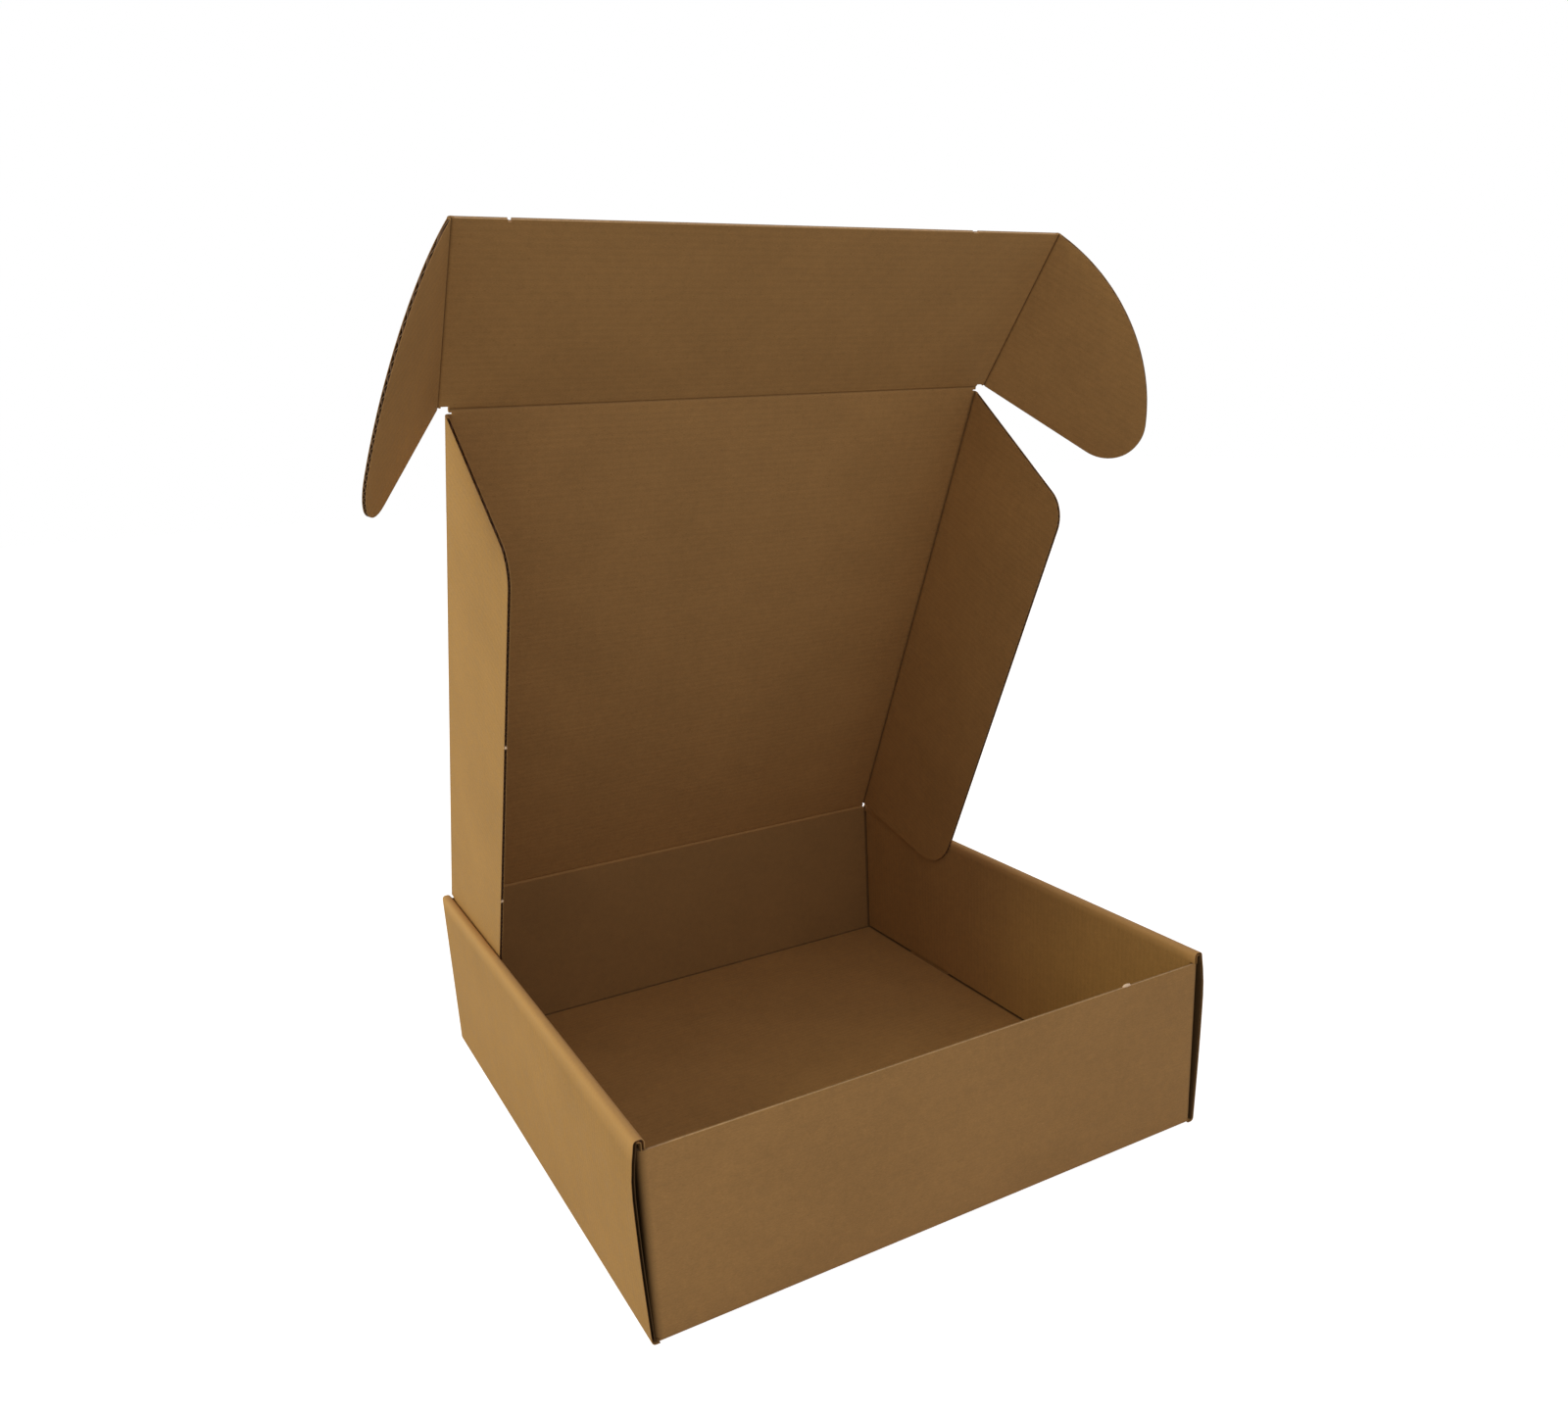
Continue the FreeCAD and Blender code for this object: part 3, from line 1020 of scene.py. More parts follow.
@dataclass
class DustFlaps:
    """The lid's two side flaps, which drop inside the side walls.

    Attributes:
        drop: How far a flap reaches from its crease.
        heel: Where a flap starts, from the lid's hinge.
        toe_gap: Where it ends, short of the tuck flap's crease.
        heel_slope: Slope of its lower edge.
        toe_slope: Slope of its upper edge.
        heel_radius: Radius of its lower corner.
        toe_radius: Radius of its upper corner.
        heel_chords: How many chords the lower corner has.
        toe_chords: How many the upper one has.
    """

    drop: float = 0.0971
    heel: float = 0.0024
    toe_gap: float = 0.0031
    heel_slope: float = math.radians(11.0)
    toe_slope: float = math.radians(13.8)
    heel_radius: float = 0.029
    toe_radius: float = 0.017
    heel_chords: int = 14
    toe_chords: int = 12

    @property
    def toe(self) -> float:
        """Where the crease ends, from the lid's hinge."""
        return STANCE.lid_length - self.toe_gap

    def outline(self, start: float) -> list[Point]:
        """A flap's outline.

        Args:
            start: Distance of the panel from its crease.

        Returns:
            The corners, anticlockwise.
        """
        low = self.heel + self.drop * math.tan(self.heel_slope)
        high = self.toe - self.drop * math.tan(self.toe_slope)
        # Each corner's arc touches the outer edge and the sloping one
        low_reach = self.heel_radius * math.tan((math.pi / 2 - self.heel_slope) / 2)
        low_centre = (self.drop - self.heel_radius, low + low_reach)
        high_reach = self.toe_radius * math.tan((math.pi / 2 - self.toe_slope) / 2)
        high_centre = (self.drop - self.toe_radius, high - high_reach)
        points = [(start, self.heel + start * math.tan(self.heel_slope))]
        points += arc(low_centre, self.heel_radius, self.heel_slope - math.pi / 2, 0.0, self.heel_chords)
        points += arc(high_centre, self.toe_radius, 0.0, math.pi / 2 - self.toe_slope, self.toe_chords)
        points.append((start, self.toe - start * math.tan(self.toe_slope)))
        return points

    def strip(self) -> list[Point]:
        """The flat crease strip's outline.

        Returns:
            The corners, anticlockwise.
        """
        half = BOARD.crease_half
        return [
            (-half, self.heel), (0.0, self.heel), (half, self.heel + half * math.tan(self.heel_slope)),
            (half, self.toe - half * math.tan(self.toe_slope)), (0.0, self.toe), (-half, self.toe),
        ]

    def build(self) -> None:
        """Make both flaps and their creases."""
        for side in Side:
            word = side.name.lower()
            node = f"{word}_dust_flap"
            crease = STANCE.dust_crease(side)
            place = crease @ folded(STANCE.dust_fold)
            Flap(f"{node}_panel", node, self.outline(BOARD.crease_half), -BOARD.half).build(place)
            Crease(f"{node}_fold", "lid", node, crease, STANCE.dust_fold, self.strip(),
                   low=-BOARD.thickness, high=0.0).build(ON_THE_LID)


@dataclass
class Ears:
    """The tuck flap's two locking ears.

    Attributes:
        reach: How far an ear reaches from its crease.
        setback: Distance of its straight edge from the tuck flap's crease.
        sweep_radius: Radius of its long curved edge.
        tip_radius: Radius of its tip.
        edge_tone: Linear colour of the flute ends along its curved edge.
        tip_chords: How many chords its tip has.
        sweep_chords: How many its long edge has.
    """

    reach: float = 0.09355
    setback: float = 0.0008
    sweep_radius: float = 0.107
    tip_radius: float = 0.0224
    edge_tone: Triple = (0.30, 0.19, 0.10)
    tip_chords: int = 20
    sweep_chords: int = 36

    def curve(self, end: float) -> tuple[Point, Point, float, float]:
        """Centres and angles of the two arcs.

        Args:
            end: Where the crease ends.

        Returns:
            The tip's centre, the sweep's centre, the angle where both meet and the one where the sweep ends.
        """
        tip = Vector((self.reach - self.tip_radius, self.setback + self.tip_radius))
        corner = Vector((0.0, end))
        span = tip - corner
        difference = self.sweep_radius - self.tip_radius
        near = (self.sweep_radius**2 - difference**2 + span.length_squared) / (2 * span.length)
        aside = math.sqrt(self.sweep_radius**2 - near**2)
        along = span.normalized()
        centre = corner + along * near + Vector((along.y, -along.x)) * aside
        meeting = math.atan2(tip.y - centre.y, tip.x - centre.x)
        last = math.atan2(corner.y - centre.y, corner.x - centre.x)
        return tuple(tip), tuple(centre), meeting, last

    def outline(self, start: float, end: float) -> list[Point]:
        """An ear's outline.

        Args:
            start: Distance of the panel from its crease.
            end: Where the crease ends.

        Returns:
            The corners, anticlockwise.
        """
        tip, centre, meeting, last = self.curve(end)
        points = [(start, self.setback)]
        points += arc(tip, self.tip_radius, -math.pi / 2, meeting, self.tip_chords)
        sweep = arc(centre, self.sweep_radius, meeting, last, self.sweep_chords)
        points += [spot for spot in sweep[1:] if spot[0] > start]
        sweep_height = centre[1] + math.sqrt(self.sweep_radius**2 - (start - centre[0]) ** 2)
        points.append((start, sweep_height))
        return points

    def build(self, end: float) -> None:
        """Make both ears and their creases.

        Args:
            end: Where each crease ends, at the tuck flap's free edge.
        """
        half = BOARD.crease_half
        for side in Side:
            node = f"{side.name.lower()}_ear"
            crease = STANCE.ear_crease(side)
            outline = self.outline(half, end)
            panel = Flap(f"{node}_panel", node, outline, waved_tone_and_shade=self.edge_tone)
            panel.build(crease @ folded(STANCE.ear_fold))
            strip = [(-half, self.setback), (half, self.setback), outline[-1], (0.0, end), (-half, end)]
            Crease(f"{node}_fold", "tuck_flap", node, crease, STANCE.ear_fold, strip).build(ON_THE_TUCK)


@dataclass
class Lid:
    """The top panel and the tuck flap in front of it.

    Attributes:
        tuck_depth: From the tuck flap's crease to its free edge.
        corner_relief: Width of the holes at the ends of the hinge's crease.
        notches: Place, width and depth of the nicks in the tuck flap's free edge.
        hinge_gloom: How dark the shade painted along the crease line of the lid's hinge is, from 0 to 1.
        tuck_gloom: How dark the shade painted along the tuck flap's is.
        steps: How many strips a panel is divided into.
        tuck_rows: How many the tuck flap is, away from its crease.
    """

    tuck_depth: float = 0.09615
    corner_relief: float = 0.0018
    notches: tuple[Triple, ...] = ((-0.1335, 0.0016, 0.0011), (0.1046, 0.0030, 0.0005))
    hinge_gloom: float = 0.1
    tuck_gloom: float = 0.5
    steps: int = 12
    tuck_rows: int = 4

    def build(self) -> None:
        """Make both panels and the creases between them and the back wall."""
        half = BOARD.crease_half
        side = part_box("lid")[1].x - self.corner_relief
        panel = Piece("lid_panel")
        edge = STANCE.dust_axis - half
        flat = Sheet((-edge, half), (edge, STANCE.lid_length - half), self.steps)
        panel.add(flat.cut(0, stations(-edge, edge, self.steps)).thicken(-BOARD.half, BOARD.half))
        item = panel.lay(STANCE.lid()).finish(ON_THE_LID)
        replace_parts(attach(item, "lid"), "lid")

        upright = Matrix.Translation(STANCE.hinge) @ Matrix.Rotation(STANCE.flat_to_upright, 4, "X")
        quarter = Matrix.Rotation(math.radians(90), 4, "Z")
        bend = STANCE.lid_turn - STANCE.flat_to_upright
        hinge = [(-half, -side), (half, -side), (half, side), (-half, side)]
        fold = Crease("lid_fold", "tray", "lid", upright @ quarter, bend, hinge, painted_shading=self.hinge_gloom)
        fold.build(ACROSS_THE_BOX)

        ends = STANCE.dust_axis
        strip = [(-half, -ends), (half, -ends), (half, ends), (-half, ends)]
        bend = STANCE.tuck_turn - STANCE.lid_turn
        front = STANCE.lid() @ Matrix.Translation((0, STANCE.lid_length, 0)) @ quarter
        Crease("tuck_fold", "lid", "tuck_flap", front, bend, strip, painted_shading=self.tuck_gloom).build(ON_THE_LID)
        self.build_tuck()

    def build_tuck(self) -> None:
        """Make the tuck flap, whose free edge shows the board's layers."""
        half = BOARD.crease_half
        reach = STANCE.ear_axis - half
        panel = Piece("tuck_panel")
        for bottom, top, recess, paper in board_layers(crushed=True):
            flat = Sheet((-reach, half), (reach, self.tuck_depth - recess), self.tuck_rows)
            for spot, width, depth in self.notches:
                floor = self.tuck_depth - depth
                side = width / 2 + recess
                flat.punch((spot - side, floor - recess), (spot + side, self.tuck_depth + OVERRUN))
            panel.add(flat.cut(0, stations(-reach, reach, self.steps)).thicken(bottom, top), paper)
        item = panel.lay(STANCE.tuck()).finish(ON_THE_TUCK)
        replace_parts(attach(item, "tuck_flap"), "tuck_flap")


def board_layers(crushed: bool) -> list[tuple[float, float, float, Paper]]:
    """The layers of a panel whose cut edge runs along the flutes.

    Args:
        crushed: Whether the knife crushed the cut shut.

    Returns:
        For each layer its lower and upper face, how far it stands back from a cut edge, and its paper.
    """
    filling = BOARD.half - BOARD.liner
    core = (-filling, filling, BOARD.cut_recess, Paper.MEDIUM)
    if crushed:
        core = (-filling, filling, BOARD.crush_recess, Paper.CUT)
    return [(-BOARD.half, -filling, 0.0, Paper.LINER), (filling, BOARD.half, 0.0, Paper.LINER), core]


@dataclass
class Tray:
    """The tray: base, front and back walls with their corner tabs, and the rolled side walls.

    Attributes:
        height: Height of the side walls.
        front_height: Height of the front wall.
        layer_gap: Gap between the layers of a rolled wall.
        corner_tab: Length of each corner tab, over its fold.
        corner_radius: Radius inside the end walls' upright folds.
        roll_shadow: Width of the shade beside a rolled wall.
        foot_gap: How far the inner panels stop short of the base and of the end walls.
        bow: How far the outer panels bow outwards at the front.
        bow_height: Height where they bow the most.
        bow_length: How far back the bow reaches.
        lock_width: Width of the tabs that stand in the base's slots.
        lock_spread: Distance between them.
        lock_rise: Height of their ends above the base's underside.
        slot_gap: Clearance of the tabs in the slots.
        outer_width: Width over both side walls.
        bow_roundness: How round the bow is below its crest. The rest of it is straight.
        corner_gloom: How dark the shade painted in the end walls' inner corners and along their feet is, from
            0 to 1.
        floor_gloom: How dark the shade painted along the edges of the base is.
        top_highlight: How pale the highlight painted on the folds over a side wall is, from 0 to 1.
        foot_highlight: The same for the fold at its foot.
        steps: How many strips a panel is divided into.
        bow_steps: How many along the bow.
        end_steps: How many behind it, and up an end wall.
    """

    height: float = 0.101
    front_height: float = 0.095
    layer_gap: float = 0.0001
    corner_tab: float = 0.095
    corner_radius: float = 0.0022
    roll_shadow: float = 0.0012
    foot_gap: float = 0.0012
    bow: float = 0.0024
    bow_height: float = 0.076
    bow_length: float = 0.130
    lock_width: float = 0.045
    lock_spread: float = 0.160
    lock_rise: float = 0.0002
    slot_gap: float = 0.00015
    outer_width: float = 0.320
    bow_roundness: float = 0.75
    corner_gloom: float = 0.8
    floor_gloom: float = 0.85
    top_highlight: float = 0.55
    foot_highlight: float = 0.2
    steps: int = 12
    bow_steps: int = 8
    end_steps: int = 6

    @property
    def side(self) -> float:
        """Half of the tray's width."""
        return self.outer_width / 2

    @property
    def front(self) -> float:
        """Half of the tray's depth."""
        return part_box("tray")[1].y

    @property
    def roll(self) -> float:
        """Thickness of a rolled side wall."""
        return 3 * BOARD.thickness + 2 * self.layer_gap

    @property
    def tab_face(self) -> float:
        """Outer face of the corner tabs, from the middle."""
        return self.side - BOARD.thickness - self.layer_gap

    @property
    def wall_side(self) -> float:
        """Where the end walls start to fold round into their corner tabs."""
        return self.tab_face - BOARD.outer_radius

    def roll_path(self) -> FoldedPath:
        """A side wall's section.

        Returns:
            The path from the base, up, over the top and down inside.
        """
        radius = BOARD.outer_radius
        fold = Run(BOARD.fold_length, math.pi / 2)
        start = self.wall_side
        rise = self.height - 2 * radius
        down = self.height - radius - BOARD.thickness - self.foot_gap
        over = Run(self.roll - 2 * radius)
        runs = (Run(self.side - radius - start), fold, Run(rise), fold, over, fold, Run(down))
        return FoldedPath((start, BOARD.half), 0.0, runs)

    def bulge(self, from_front: float, height: float) -> float:
        """The outer panel's outward bow.

        Args:
            from_front: Distance from the wall's front edge.
            height: Height above the base's underside.

        Returns:
            How far it stands out.
        """
        fade = min(max(1 - from_front / self.bow_length, 0.0), 1.0)
        low, high = BOARD.outer_radius, self.height - BOARD.outer_radius
        if not low < height < high:
            return 0.0
        if height < self.bow_height:
            share = (height - low) / (self.bow_height - low)
            rise = math.sin(share * math.pi / 2) * self.bow_roundness + share * (1 - self.bow_roundness)
        else:
            share = (high - height) / (high - self.bow_height)
            rise = math.sin(share * math.pi / 2)
        return self.bow * fade * rise

    def build_side(self, side: Side) -> None:
        """Make one rolled side wall.

        Args:
            side: Which of the two.
        """
        path = self.roll_path()
        front = self.front
        end_of_outer, inner_start = path.reach(3), path.reach(6)
        drop_to_front = self.height - BOARD.outer_radius - self.front_height - self.layer_gap
        piece = Piece(f"{side.name.lower()}_side_wall")
        for bottom, top, recess, paper in board_layers(crushed=False):
            flat = Sheet((0.0, -front + recess), (path.length, front - recess))
            flat.cut(0, path.cuts())
            flat.cut(0, stations(path.reach(2), end_of_outer, self.steps))
            flat.cut(1, stations(-front, -front + self.bow_length, self.bow_steps))
            flat.cut(1, stations(-front + self.bow_length, front, self.end_steps))
            clear = front - BOARD.thickness - self.foot_gap - recess
            for low, high in ((-front, -clear), (clear, front)):
                flat.punch((inner_start + drop_to_front, low), (path.length + OVERRUN, high))
            piece.add(flat.thicken(bottom, top), paper)

        def roll(spot: Vector) -> Vector:
            """Fold the flat sheet along its path and bow its outer panel.

            Args:
                spot: A point of the flat sheet.

            Returns:
                Its place.
            """
            across, up = path.place(spot.x, spot.z)
            if path.reach(2) - NEAR < spot.x < end_of_outer + NEAR:
                across += self.bulge(spot.y + front, up)
            return Vector((across, spot.y, up))

        def painted_shading(spot: Vector) -> float:
            """Paint shade into the slot behind the outer panel, and paint a highlight on the outside of the
            folds.

            Args:
                spot: A point of the flat sheet.

            Returns:
                How much shade is painted on it, or below zero how much highlight.
            """
            if spot.z > BOARD.liner * 2 - BOARD.half:
                return 1.0 if path.reach(1) < spot.x < path.reach(4) - NEAR else 0.0
            on_top = end_of_outer - NEAR < spot.x < inner_start + NEAR
            at_foot = path.reach(1) < spot.x < path.reach(2)
            return -self.top_highlight if on_top else -self.foot_highlight * at_foot

        piece.shape(roll, painted_shading).lay(Matrix.Diagonal((side.value, 1, 1, 1)))
        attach(piece.finish(UP_THE_SIDES), "tray")

    def band_path(self) -> FoldedPath:
        """An end wall's section seen from above.

        Returns:
            The path of a tab, a fold, the wall, a fold and the other tab.
        """
        radius = self.corner_radius + BOARD.thickness
        fold = Run((self.corner_radius + BOARD.half) * math.pi / 2, math.pi / 2)
        tab = Run(self.corner_tab - radius)
        middle = self.tab_face - BOARD.half
        start = (-middle, -self.front + self.corner_tab)
        wall = Run(2 * (self.tab_face - radius))
        return FoldedPath(start, -math.pi / 2, (tab, fold, wall, fold, tab))

    def build_band(self, name: str, top: float, middle_top: float, turned: bool) -> None:
        """Make an end wall with its corner tabs.

        Args:
            name: The finished object's name.
            top: Height of the tabs.
            middle_top: Height of the wall between the rolled sides.
            turned: Whether it is the back wall.
        """
        path = self.band_path()
        foot = BOARD.outer_radius
        lid_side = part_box("lid")[1].x
        wall_middle, wall_start = path.length / 2, path.reach(2)
        slot_fade = wall_start - path.reach(1)
        piece = Piece(name)
        for bottom, upper, recess, paper in board_layers(crushed=True):
            flat = Sheet((0.0, foot), (path.length, top - recess), self.end_steps)
            flat.cut(0, path.cuts()).cut(1, (foot + BOARD.groove_half, foot + 2 * BOARD.groove_half))
            flat.cut(0, (wall_start + BOARD.groove_half, path.length - wall_start - BOARD.groove_half))
            flat.cut(0, (wall_start + self.roll_shadow, path.length - wall_start - self.roll_shadow))
            if middle_top < top:
                flat.punch((wall_middle - lid_side, middle_top), (wall_middle + lid_side, top + OVERRUN))
            piece.add(flat.thicken(bottom, upper), paper)

        def stand(spot: Vector) -> Vector:
            """Fold the band round its two corners and stand it up.

            Args:
                spot: A point of the flat band.

            Returns:
                Its place.
            """
            across, along = path.place(spot.x, spot.z)
            return Vector((across, along, spot.y))

        def painted_shading(spot: Vector) -> float:
            """Paint shade on the inner face along the foot and in both corners, and on the tabs in the slots.

            Args:
                spot: A point of the flat band.

            Returns:
                How much shade is painted on it, from 0 to 1.
            """
            from_end = min(spot.x, path.length - spot.x)
            if spot.z < 0:
                return min(max((wall_start - from_end) / slot_fade, 0.0), 1.0)
            low = 1 - (spot.y - foot) / BOARD.groove_half
            corner = 1 - (from_end - wall_start - BOARD.groove_half) / self.roll_shadow
            return self.corner_gloom * min(max(low, corner, 0.0), 1.0)

        piece.shape(stand, painted_shading)
        bmesh.ops.reverse_faces(piece.mesh, faces=piece.mesh.faces[:])
        piece.lay(Matrix.Rotation(math.pi if turned else 0.0, 4, "Z"))
        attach(piece.finish(ACROSS_THE_BOX), "tray")

    def build_base(self) -> None:
        """Make the base, with its folds up to the end walls and the slots for the locking tabs."""
        radius = BOARD.outer_radius
        fold = Run(BOARD.fold_length, math.pi / 2)
        floor = 2 * (self.front - radius)
        path = FoldedPath((-self.front + BOARD.half, radius), -math.pi / 2, (fold, Run(floor), fold))
        middle = path.length / 2
        inner = self.side - self.roll
        flat = Sheet((0.0, -self.wall_side), (path.length, self.wall_side))
        flat.cut(0, path.cuts())
        floor_start = path.reach(1)
        for step in (1, 2):
            edge = floor_start + step * BOARD.groove_half
            flat.cut(0, (edge, path.length - edge))
        flat.cut(1, stations(-self.wall_side, self.wall_side, self.steps))
        flat.cut(1, (-inner, inner, self.roll_shadow - inner, inner - self.roll_shadow))
        for end in (-1, 1):
            for side in (-1, 1):
                centre = middle + end * self.lock_spread / 2
                reach = self.lock_width / 2 + self.slot_gap
                near, far = inner - self.slot_gap, inner + BOARD.thickness + self.slot_gap
                edges = sorted((side * near, side * far))
                flat.punch((centre - reach, edges[0]), (centre + reach, edges[1]))
        piece = Piece("base_panel")
        piece.add(flat.thicken(-BOARD.half, BOARD.half))

        def raise_ends(spot: Vector) -> Vector:
            """Fold both ends up.

            Args:
                spot: A point of the flat base.

            Returns:
                Its place.
            """
            along, up = path.place(spot.x, spot.z)
            return Vector((-spot.y, along, up))

        def painted_shading(spot: Vector) -> float:
            """Paint shade on the upper face along the folds and beside the rolled walls.

            Args:
                spot: A point of the flat base.

            Returns:
                How much shade is painted on it, from 0 to 1.
            """
            if spot.z < 0:
                return 0.0
            fold_line = 1 - (min(spot.x, path.length - spot.x) - floor_start) / (2 * BOARD.groove_half)
            beside = 1 - (inner - abs(spot.y)) / self.roll_shadow
            return self.floor_gloom * min(max(fold_line, beside, 0.0), 1.0)

        item = piece.shape(raise_ends, painted_shading).finish(ACROSS_THE_BOX)
        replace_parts(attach(item, "tray"), "tray")

    def build_lock_tabs(self) -> None:
        """Make the tabs that stand in the base's slots."""
        piece = Piece("lock_tabs")
        inner = self.side - self.roll
        tilt = Matrix.Rotation(math.radians(-90), 4, "Y")
        for side in (-1, 1):
            for end in (-1, 1):
                centre = end * self.lock_spread / 2
                reach = self.lock_width / 2
                flat = Sheet((self.lock_rise, centre - reach), (2 * BOARD.thickness, centre + reach))
                tab = flat.thicken(0.0, BOARD.thickness)
                bmesh.ops.transform(tab, matrix=tilt, verts=tab.verts[:])
                shift = side * (inner + BOARD.half) + BOARD.half
                bmesh.ops.translate(tab, verts=tab.verts[:], vec=(shift, 0, 0))
                piece.add(tab)
        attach(piece.finish(UP_THE_SIDES), "tray")

    def build(self) -> None:
        """Make the whole tray."""
        self.build_base()
        for side in Side:
            self.build_side(side)
        self.build_band("front_wall", self.front_height, self.front_height, False)
        tab_top = self.height - BOARD.thickness - self.layer_gap
        crease_start = STANCE.hinge.z - BOARD.crease_half
        self.build_band("back_wall", tab_top, crease_start, True)
        self.build_lock_tabs()


@dataclass(frozen=True)
class Tuft:
    """A tuft of torn fibres, where the knife left a bridge between two blanks.

    Attributes:
        name: The finished object's name.
        body: The body that it rides on.
        place: Axes of the cut edge: X along it and Z out of the board's inner face.
        size: Half of its length, depth and height.
        tone: Linear colour of its fibres.
        fray: How ragged it is.
        fray_scale: How fine the raggedness is.
        fray_shift: What the tuft's place is multiplied by, so that no two are alike.
    """

    name: str
    body: str
    place: Matrix
    size: Triple
    tone: Triple = (0.95, 0.74, 0.50)
    fray: float = 0.45
    fray_scale: float = 2.3
    fray_shift: float = 90.0

    def build(self) -> bpy.types.Object:
        """Make the tuft: a flat frayed crumb of paper.

        Returns:
            The object.
        """
        crumb = bmesh.new()
        bmesh.ops.create_icosphere(crumb, subdivisions=3, radius=1.0)
        for vertex in crumb.verts:
            ragged = noise.noise(vertex.co * self.fray_scale + self.place.translation * self.fray_shift)
            vertex.co *= 1 + self.fray * ragged
        bmesh.ops.scale(crumb, vec=self.size, verts=crumb.verts[:])
        piece = Piece(self.name)
        piece.add(crumb, Paper.CUT)
        finish = replace(facing_finish(self.name, self.place), cut_tone=self.tone)
        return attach(piece.lay(self.place).finish(finish), self.body)


@dataclass(frozen=True)
class Tufts:
    """The torn tufts along the blank's cut edges.

    Attributes:
        front_spot: Place of the front wall's tuft from the middle.
        front_size: Half of its length, depth and height.
        front_inset: How far it stands behind the wall's face, in thicknesses of the board.
        front_rise: Height of its middle above the wall's top edge.
        dust_spots: Places of the left dust flap's tufts from the lid's hinge.
        dust_size: Half of their depth, length and height.
        dust_inset: How far they are sunk into the flap's edge.
    """

    front_spot: float = 0.1082
    front_size: Triple = (0.0025, 0.0009, 0.0010)
    front_inset: float = 0.6
    front_rise: float = 0.0001
    dust_spots: tuple[float, float] = (0.195, 0.090)
    dust_size: Triple = (0.0006, 0.0011, 0.0009)
    dust_inset: float = 0.0004

    def build(self, tray: Tray, flaps: DustFlaps) -> None:
        """Make every tuft.

        Args:
            tray: The tray whose front wall carries one.
            flaps: The dust flaps, the left of which carries the others.
        """
        behind = BOARD.thickness * self.front_inset - tray.front
        edge = Matrix.Translation((self.front_spot, behind, tray.front_height + self.front_rise))
        Tuft("front_wall_tuft", "tray", edge, self.front_size).build()
        fold = STANCE.dust_crease(Side.LEFT) @ folded(STANCE.dust_fold)
        for number, spot in enumerate(self.dust_spots, start=1):
            place = fold @ Matrix.Translation((flaps.drop - self.dust_inset, spot, -BOARD.half))
            Tuft(f"dust_flap_tuft_{number}", "left_dust_flap", place, self.dust_size).build()


# The room round the box
@dataclass(frozen=True)
class Lamp:
    """A soft square lamp.

    Attributes:
        name: The lamp's name.
        spot: Where it hangs.
        size: Length of its sides.
        power: Its power in watts.
        colour: Its linear colour.
    """

    name: str
    spot: Triple
    size: float
    power: float
    colour: Triple

    def hang(self, aim: Triple) -> None:
        """Hang the lamp, out of the camera's sight.

        Args:
            aim: Where it points.
        """
        data = bpy.data.lights.new(self.name, "AREA")
        data.size, data.energy, data.color = self.size, self.power, self.colour
        item = bpy.data.objects.new(self.name, data)
        item.location = self.spot
        item.visible_camera = False
        item.rotation_euler = (Vector(aim) - Vector(self.spot)).to_track_quat("-Z", "Y").to_euler()
        bpy.context.scene.collection.objects.link(item)


LAMPS = (
    Lamp("window", (-1.4, 0.38, 0.7), 0.8, 8.1, (1.0, 0.97, 0.56)),
    Lamp("fill", (-0.1, -1.6, 1.2), 1.0, 3.1, (1.0, 0.9, 0.95)),
    Lamp("ceiling", (-0.5, -0.5, 1.6), 0.9, 0.8, (1.0, 0.9, 0.7)),
)


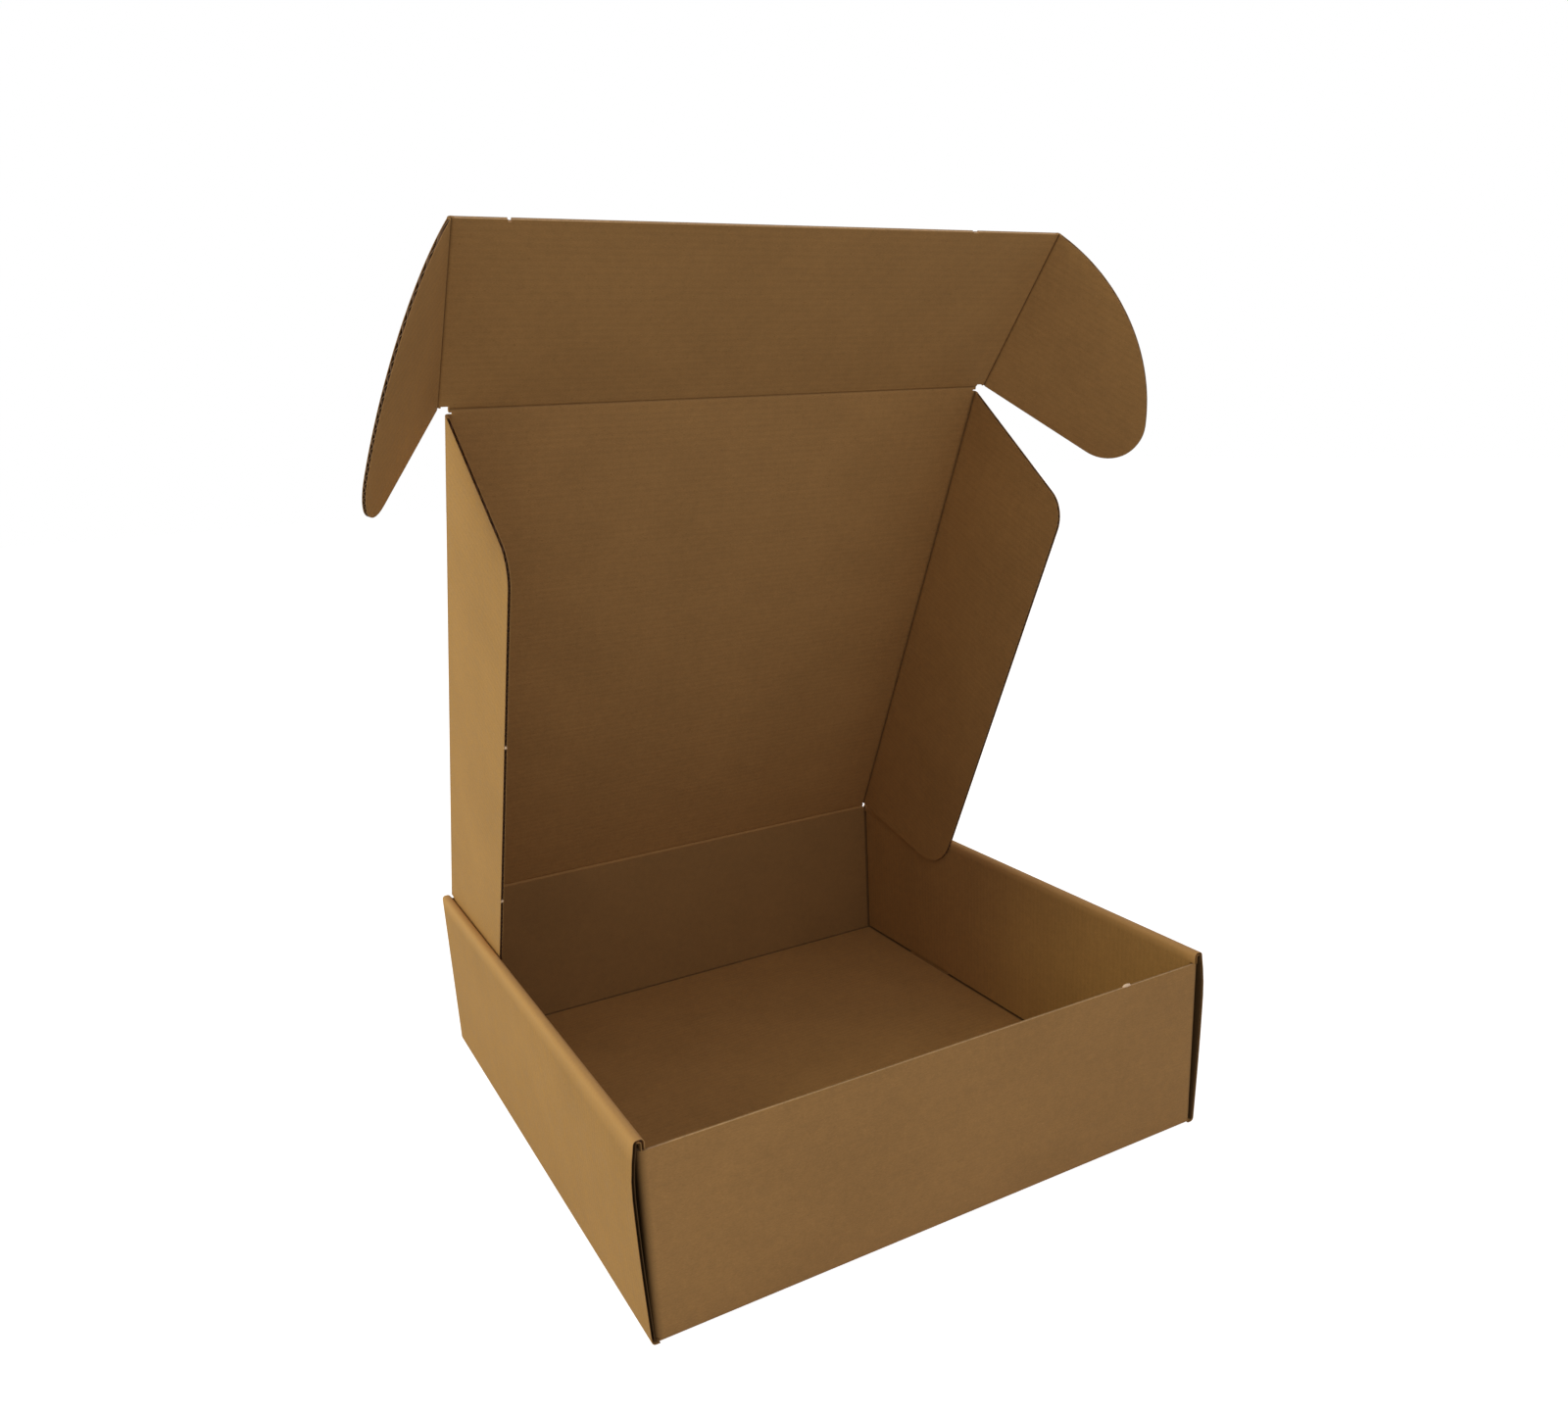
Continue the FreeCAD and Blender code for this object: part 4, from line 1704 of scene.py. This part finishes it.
@dataclass(frozen=True)
class Studio:
    """A pale floor, a white surround, soft lamps and the camera.

    Attributes:
        camera_spot: Where the camera stands.
        azimuth: Its heading from +Y towards +X, in degrees.
        dip: How far it looks down, in degrees.
        roll: Its roll, in degrees.
        focal: Focal length in pixels of the photograph.
        image: The photograph's width and height in pixels.
        axis_pixel: Where the camera's axis meets the photograph.
        film: Width of the camera's film in millimetres.
        nearest: Distance from which the camera sees.
        farthest: Distance to which it sees.
        aim: What the lamps point at.
        surround_tone: Linear colour of the light from all round.
        surround_strength: Its strength.
        floor_reach: From the floor's middle to its edges.
        floor_drop: How far the floor lies below the box.
        floor_tone: Linear colour of the floor.
        floor_glow: What the camera sees added to the floor's own light.
    """

    camera_spot: Triple = (-0.2985, -0.5711, 0.3778)
    azimuth: float = 27.52
    dip: float = 16.80
    roll: float = -3.05
    focal: float = 1231.7
    image: tuple[int, int] = (1600, 1444)
    axis_pixel: tuple[float, float] = (793.5, 801.1)
    film: float = 36.0
    nearest: float = 0.01
    farthest: float = 50.0
    aim: Triple = (0.0, 0.0, 0.18)
    surround_tone: Triple = (0.99, 0.94, 1.0)
    surround_strength: float = 0.46
    floor_reach: float = 6.0
    floor_drop: float = 0.0002
    floor_tone: Triple = (0.62, 0.62, 0.62)
    floor_glow: float = 0.88

    def place_camera(self) -> None:
        """Stand the camera where the photograph was taken."""
        data = bpy.data.cameras.new("camera")
        data.sensor_width = self.film
        data.lens = self.focal / self.image[0] * self.film
        data.shift_x = (self.image[0] / 2 - self.axis_pixel[0]) / self.image[0]
        data.shift_y = (self.axis_pixel[1] - self.image[1] / 2) / self.image[0]
        data.clip_start, data.clip_end = self.nearest, self.farthest
        heading, dip, roll = (math.radians(angle) for angle in (self.azimuth, self.dip, self.roll))
        ahead = Vector((math.sin(heading) * math.cos(dip), math.cos(heading) * math.cos(dip), -math.sin(dip)))
        level = Vector((math.cos(heading), -math.sin(heading), 0))
        above = level.cross(ahead)
        right = level * math.cos(roll) + above * math.sin(roll)
        up = above * math.cos(roll) - level * math.sin(roll)
        item = bpy.data.objects.new("camera", data)
        turn = Matrix((right, up, -ahead)).transposed().to_4x4()
        item.matrix_world = Matrix.Translation(self.camera_spot) @ turn
        bpy.context.scene.collection.objects.link(item)
        bpy.context.scene.camera = item

    def light(self) -> None:
        """Light the box from the left, with a soft fill all round."""
        for lamp in LAMPS:
            lamp.hang(self.aim)
        world = bpy.data.worlds.new("surround")
        world.use_nodes = True
        tree = world.node_tree
        background = next(node for node in tree.nodes if node.type == "BACKGROUND")
        background.inputs["Color"].default_value = (*self.surround_tone, 1.0)
        background.inputs["Strength"].default_value = self.surround_strength
        white = tree.nodes.new("ShaderNodeBackground")
        white.inputs["Color"].default_value = (1.0, 1.0, 1.0, 1.0)
        seen = self.seen_directly(tree)
        mixed = tree.nodes.new("ShaderNodeMixShader")
        output = next(node for node in tree.nodes if node.type == "OUTPUT_WORLD")
        tree.links.new(seen, mixed.inputs[0])
        tree.links.new(background.outputs[0], mixed.inputs[1])
        tree.links.new(white.outputs[0], mixed.inputs[2])
        tree.links.new(mixed.outputs[0], output.inputs["Surface"])
        bpy.context.scene.world = world

    @staticmethod
    def seen_directly(tree: bpy.types.NodeTree) -> Socket:
        """What the camera sees, in mirrors and through glass too.

        Args:
            tree: The material's or surround's nodes.

        Returns:
            A factor, 1 for what it sees and 0 for what only lights something.
        """
        rays = tree.nodes.new("ShaderNodeLightPath")
        result = rays.outputs["Is Camera Ray"]
        for name in ("Is Glossy Ray", "Is Transmission Ray"):
            either = tree.nodes.new("ShaderNodeMath")
            either.operation = "MAXIMUM"
            tree.links.new(result, either.inputs[0])
            tree.links.new(rays.outputs[name], either.inputs[1])
            result = either.outputs[0]
        return result

    def lay_floor(self) -> None:
        """Lay a wide pale floor that keeps the box's shadow."""
        mesh = bmesh.new()
        bmesh.ops.create_grid(mesh, x_segments=1, y_segments=1, size=self.floor_reach)
        bmesh.ops.translate(mesh, verts=mesh.verts[:], vec=(0, 0, -self.floor_drop))
        data = bpy.data.meshes.new("floor")
        mesh.to_mesh(data)
        mesh.free()
        material = bpy.data.materials.new("pale_floor")
        material.use_nodes = True
        tree = material.node_tree
        shader = next(node for node in tree.nodes if node.type == "BSDF_PRINCIPLED")
        shader.inputs["Base Color"].default_value = (*self.floor_tone, 1.0)
        shader.inputs["Roughness"].default_value = 0.9
        shader.inputs["Specular IOR Level"].default_value = 0.0
        shader.inputs["Emission Color"].default_value = (1.0, 1.0, 1.0, 1.0)
        tree.links.new(self.brightened(tree, self.floor_glow), shader.inputs["Emission Strength"])
        data.materials.append(material)
        floor = bpy.data.objects.new("floor", data)
        bpy.context.scene.collection.objects.link(floor)

    def brightened(self, tree: bpy.types.NodeTree, amount: float) -> Socket:
        """A glow that only the camera sees.

        Args:
            tree: The floor's nodes.
            amount: How strong it is.

        Returns:
            The glow's strength.
        """
        glow = tree.nodes.new("ShaderNodeMath")
        glow.operation = "MULTIPLY"
        glow.inputs[1].default_value = amount
        tree.links.new(self.seen_directly(tree), glow.inputs[0])
        return glow.outputs[0]

    def build(self) -> None:
        """Set the camera, the lamps, the surround and the floor."""
        self.place_camera()
        self.light()
        self.lay_floor()
        bpy.context.scene.view_settings.view_transform = "Standard"


def main() -> None:
    """Build the box and its studio."""
    logging.basicConfig(level=logging.INFO, format="%(message)s")
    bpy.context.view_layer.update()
    Studio().build()
    tray, lid, dust_flaps = Tray(), Lid(), DustFlaps()
    tray.build()
    lid.build()
    Ears().build(lid.tuck_depth)
    dust_flaps.build()
    Tufts().build(tray, dust_flaps)


if __name__ == "__main__":
    main()
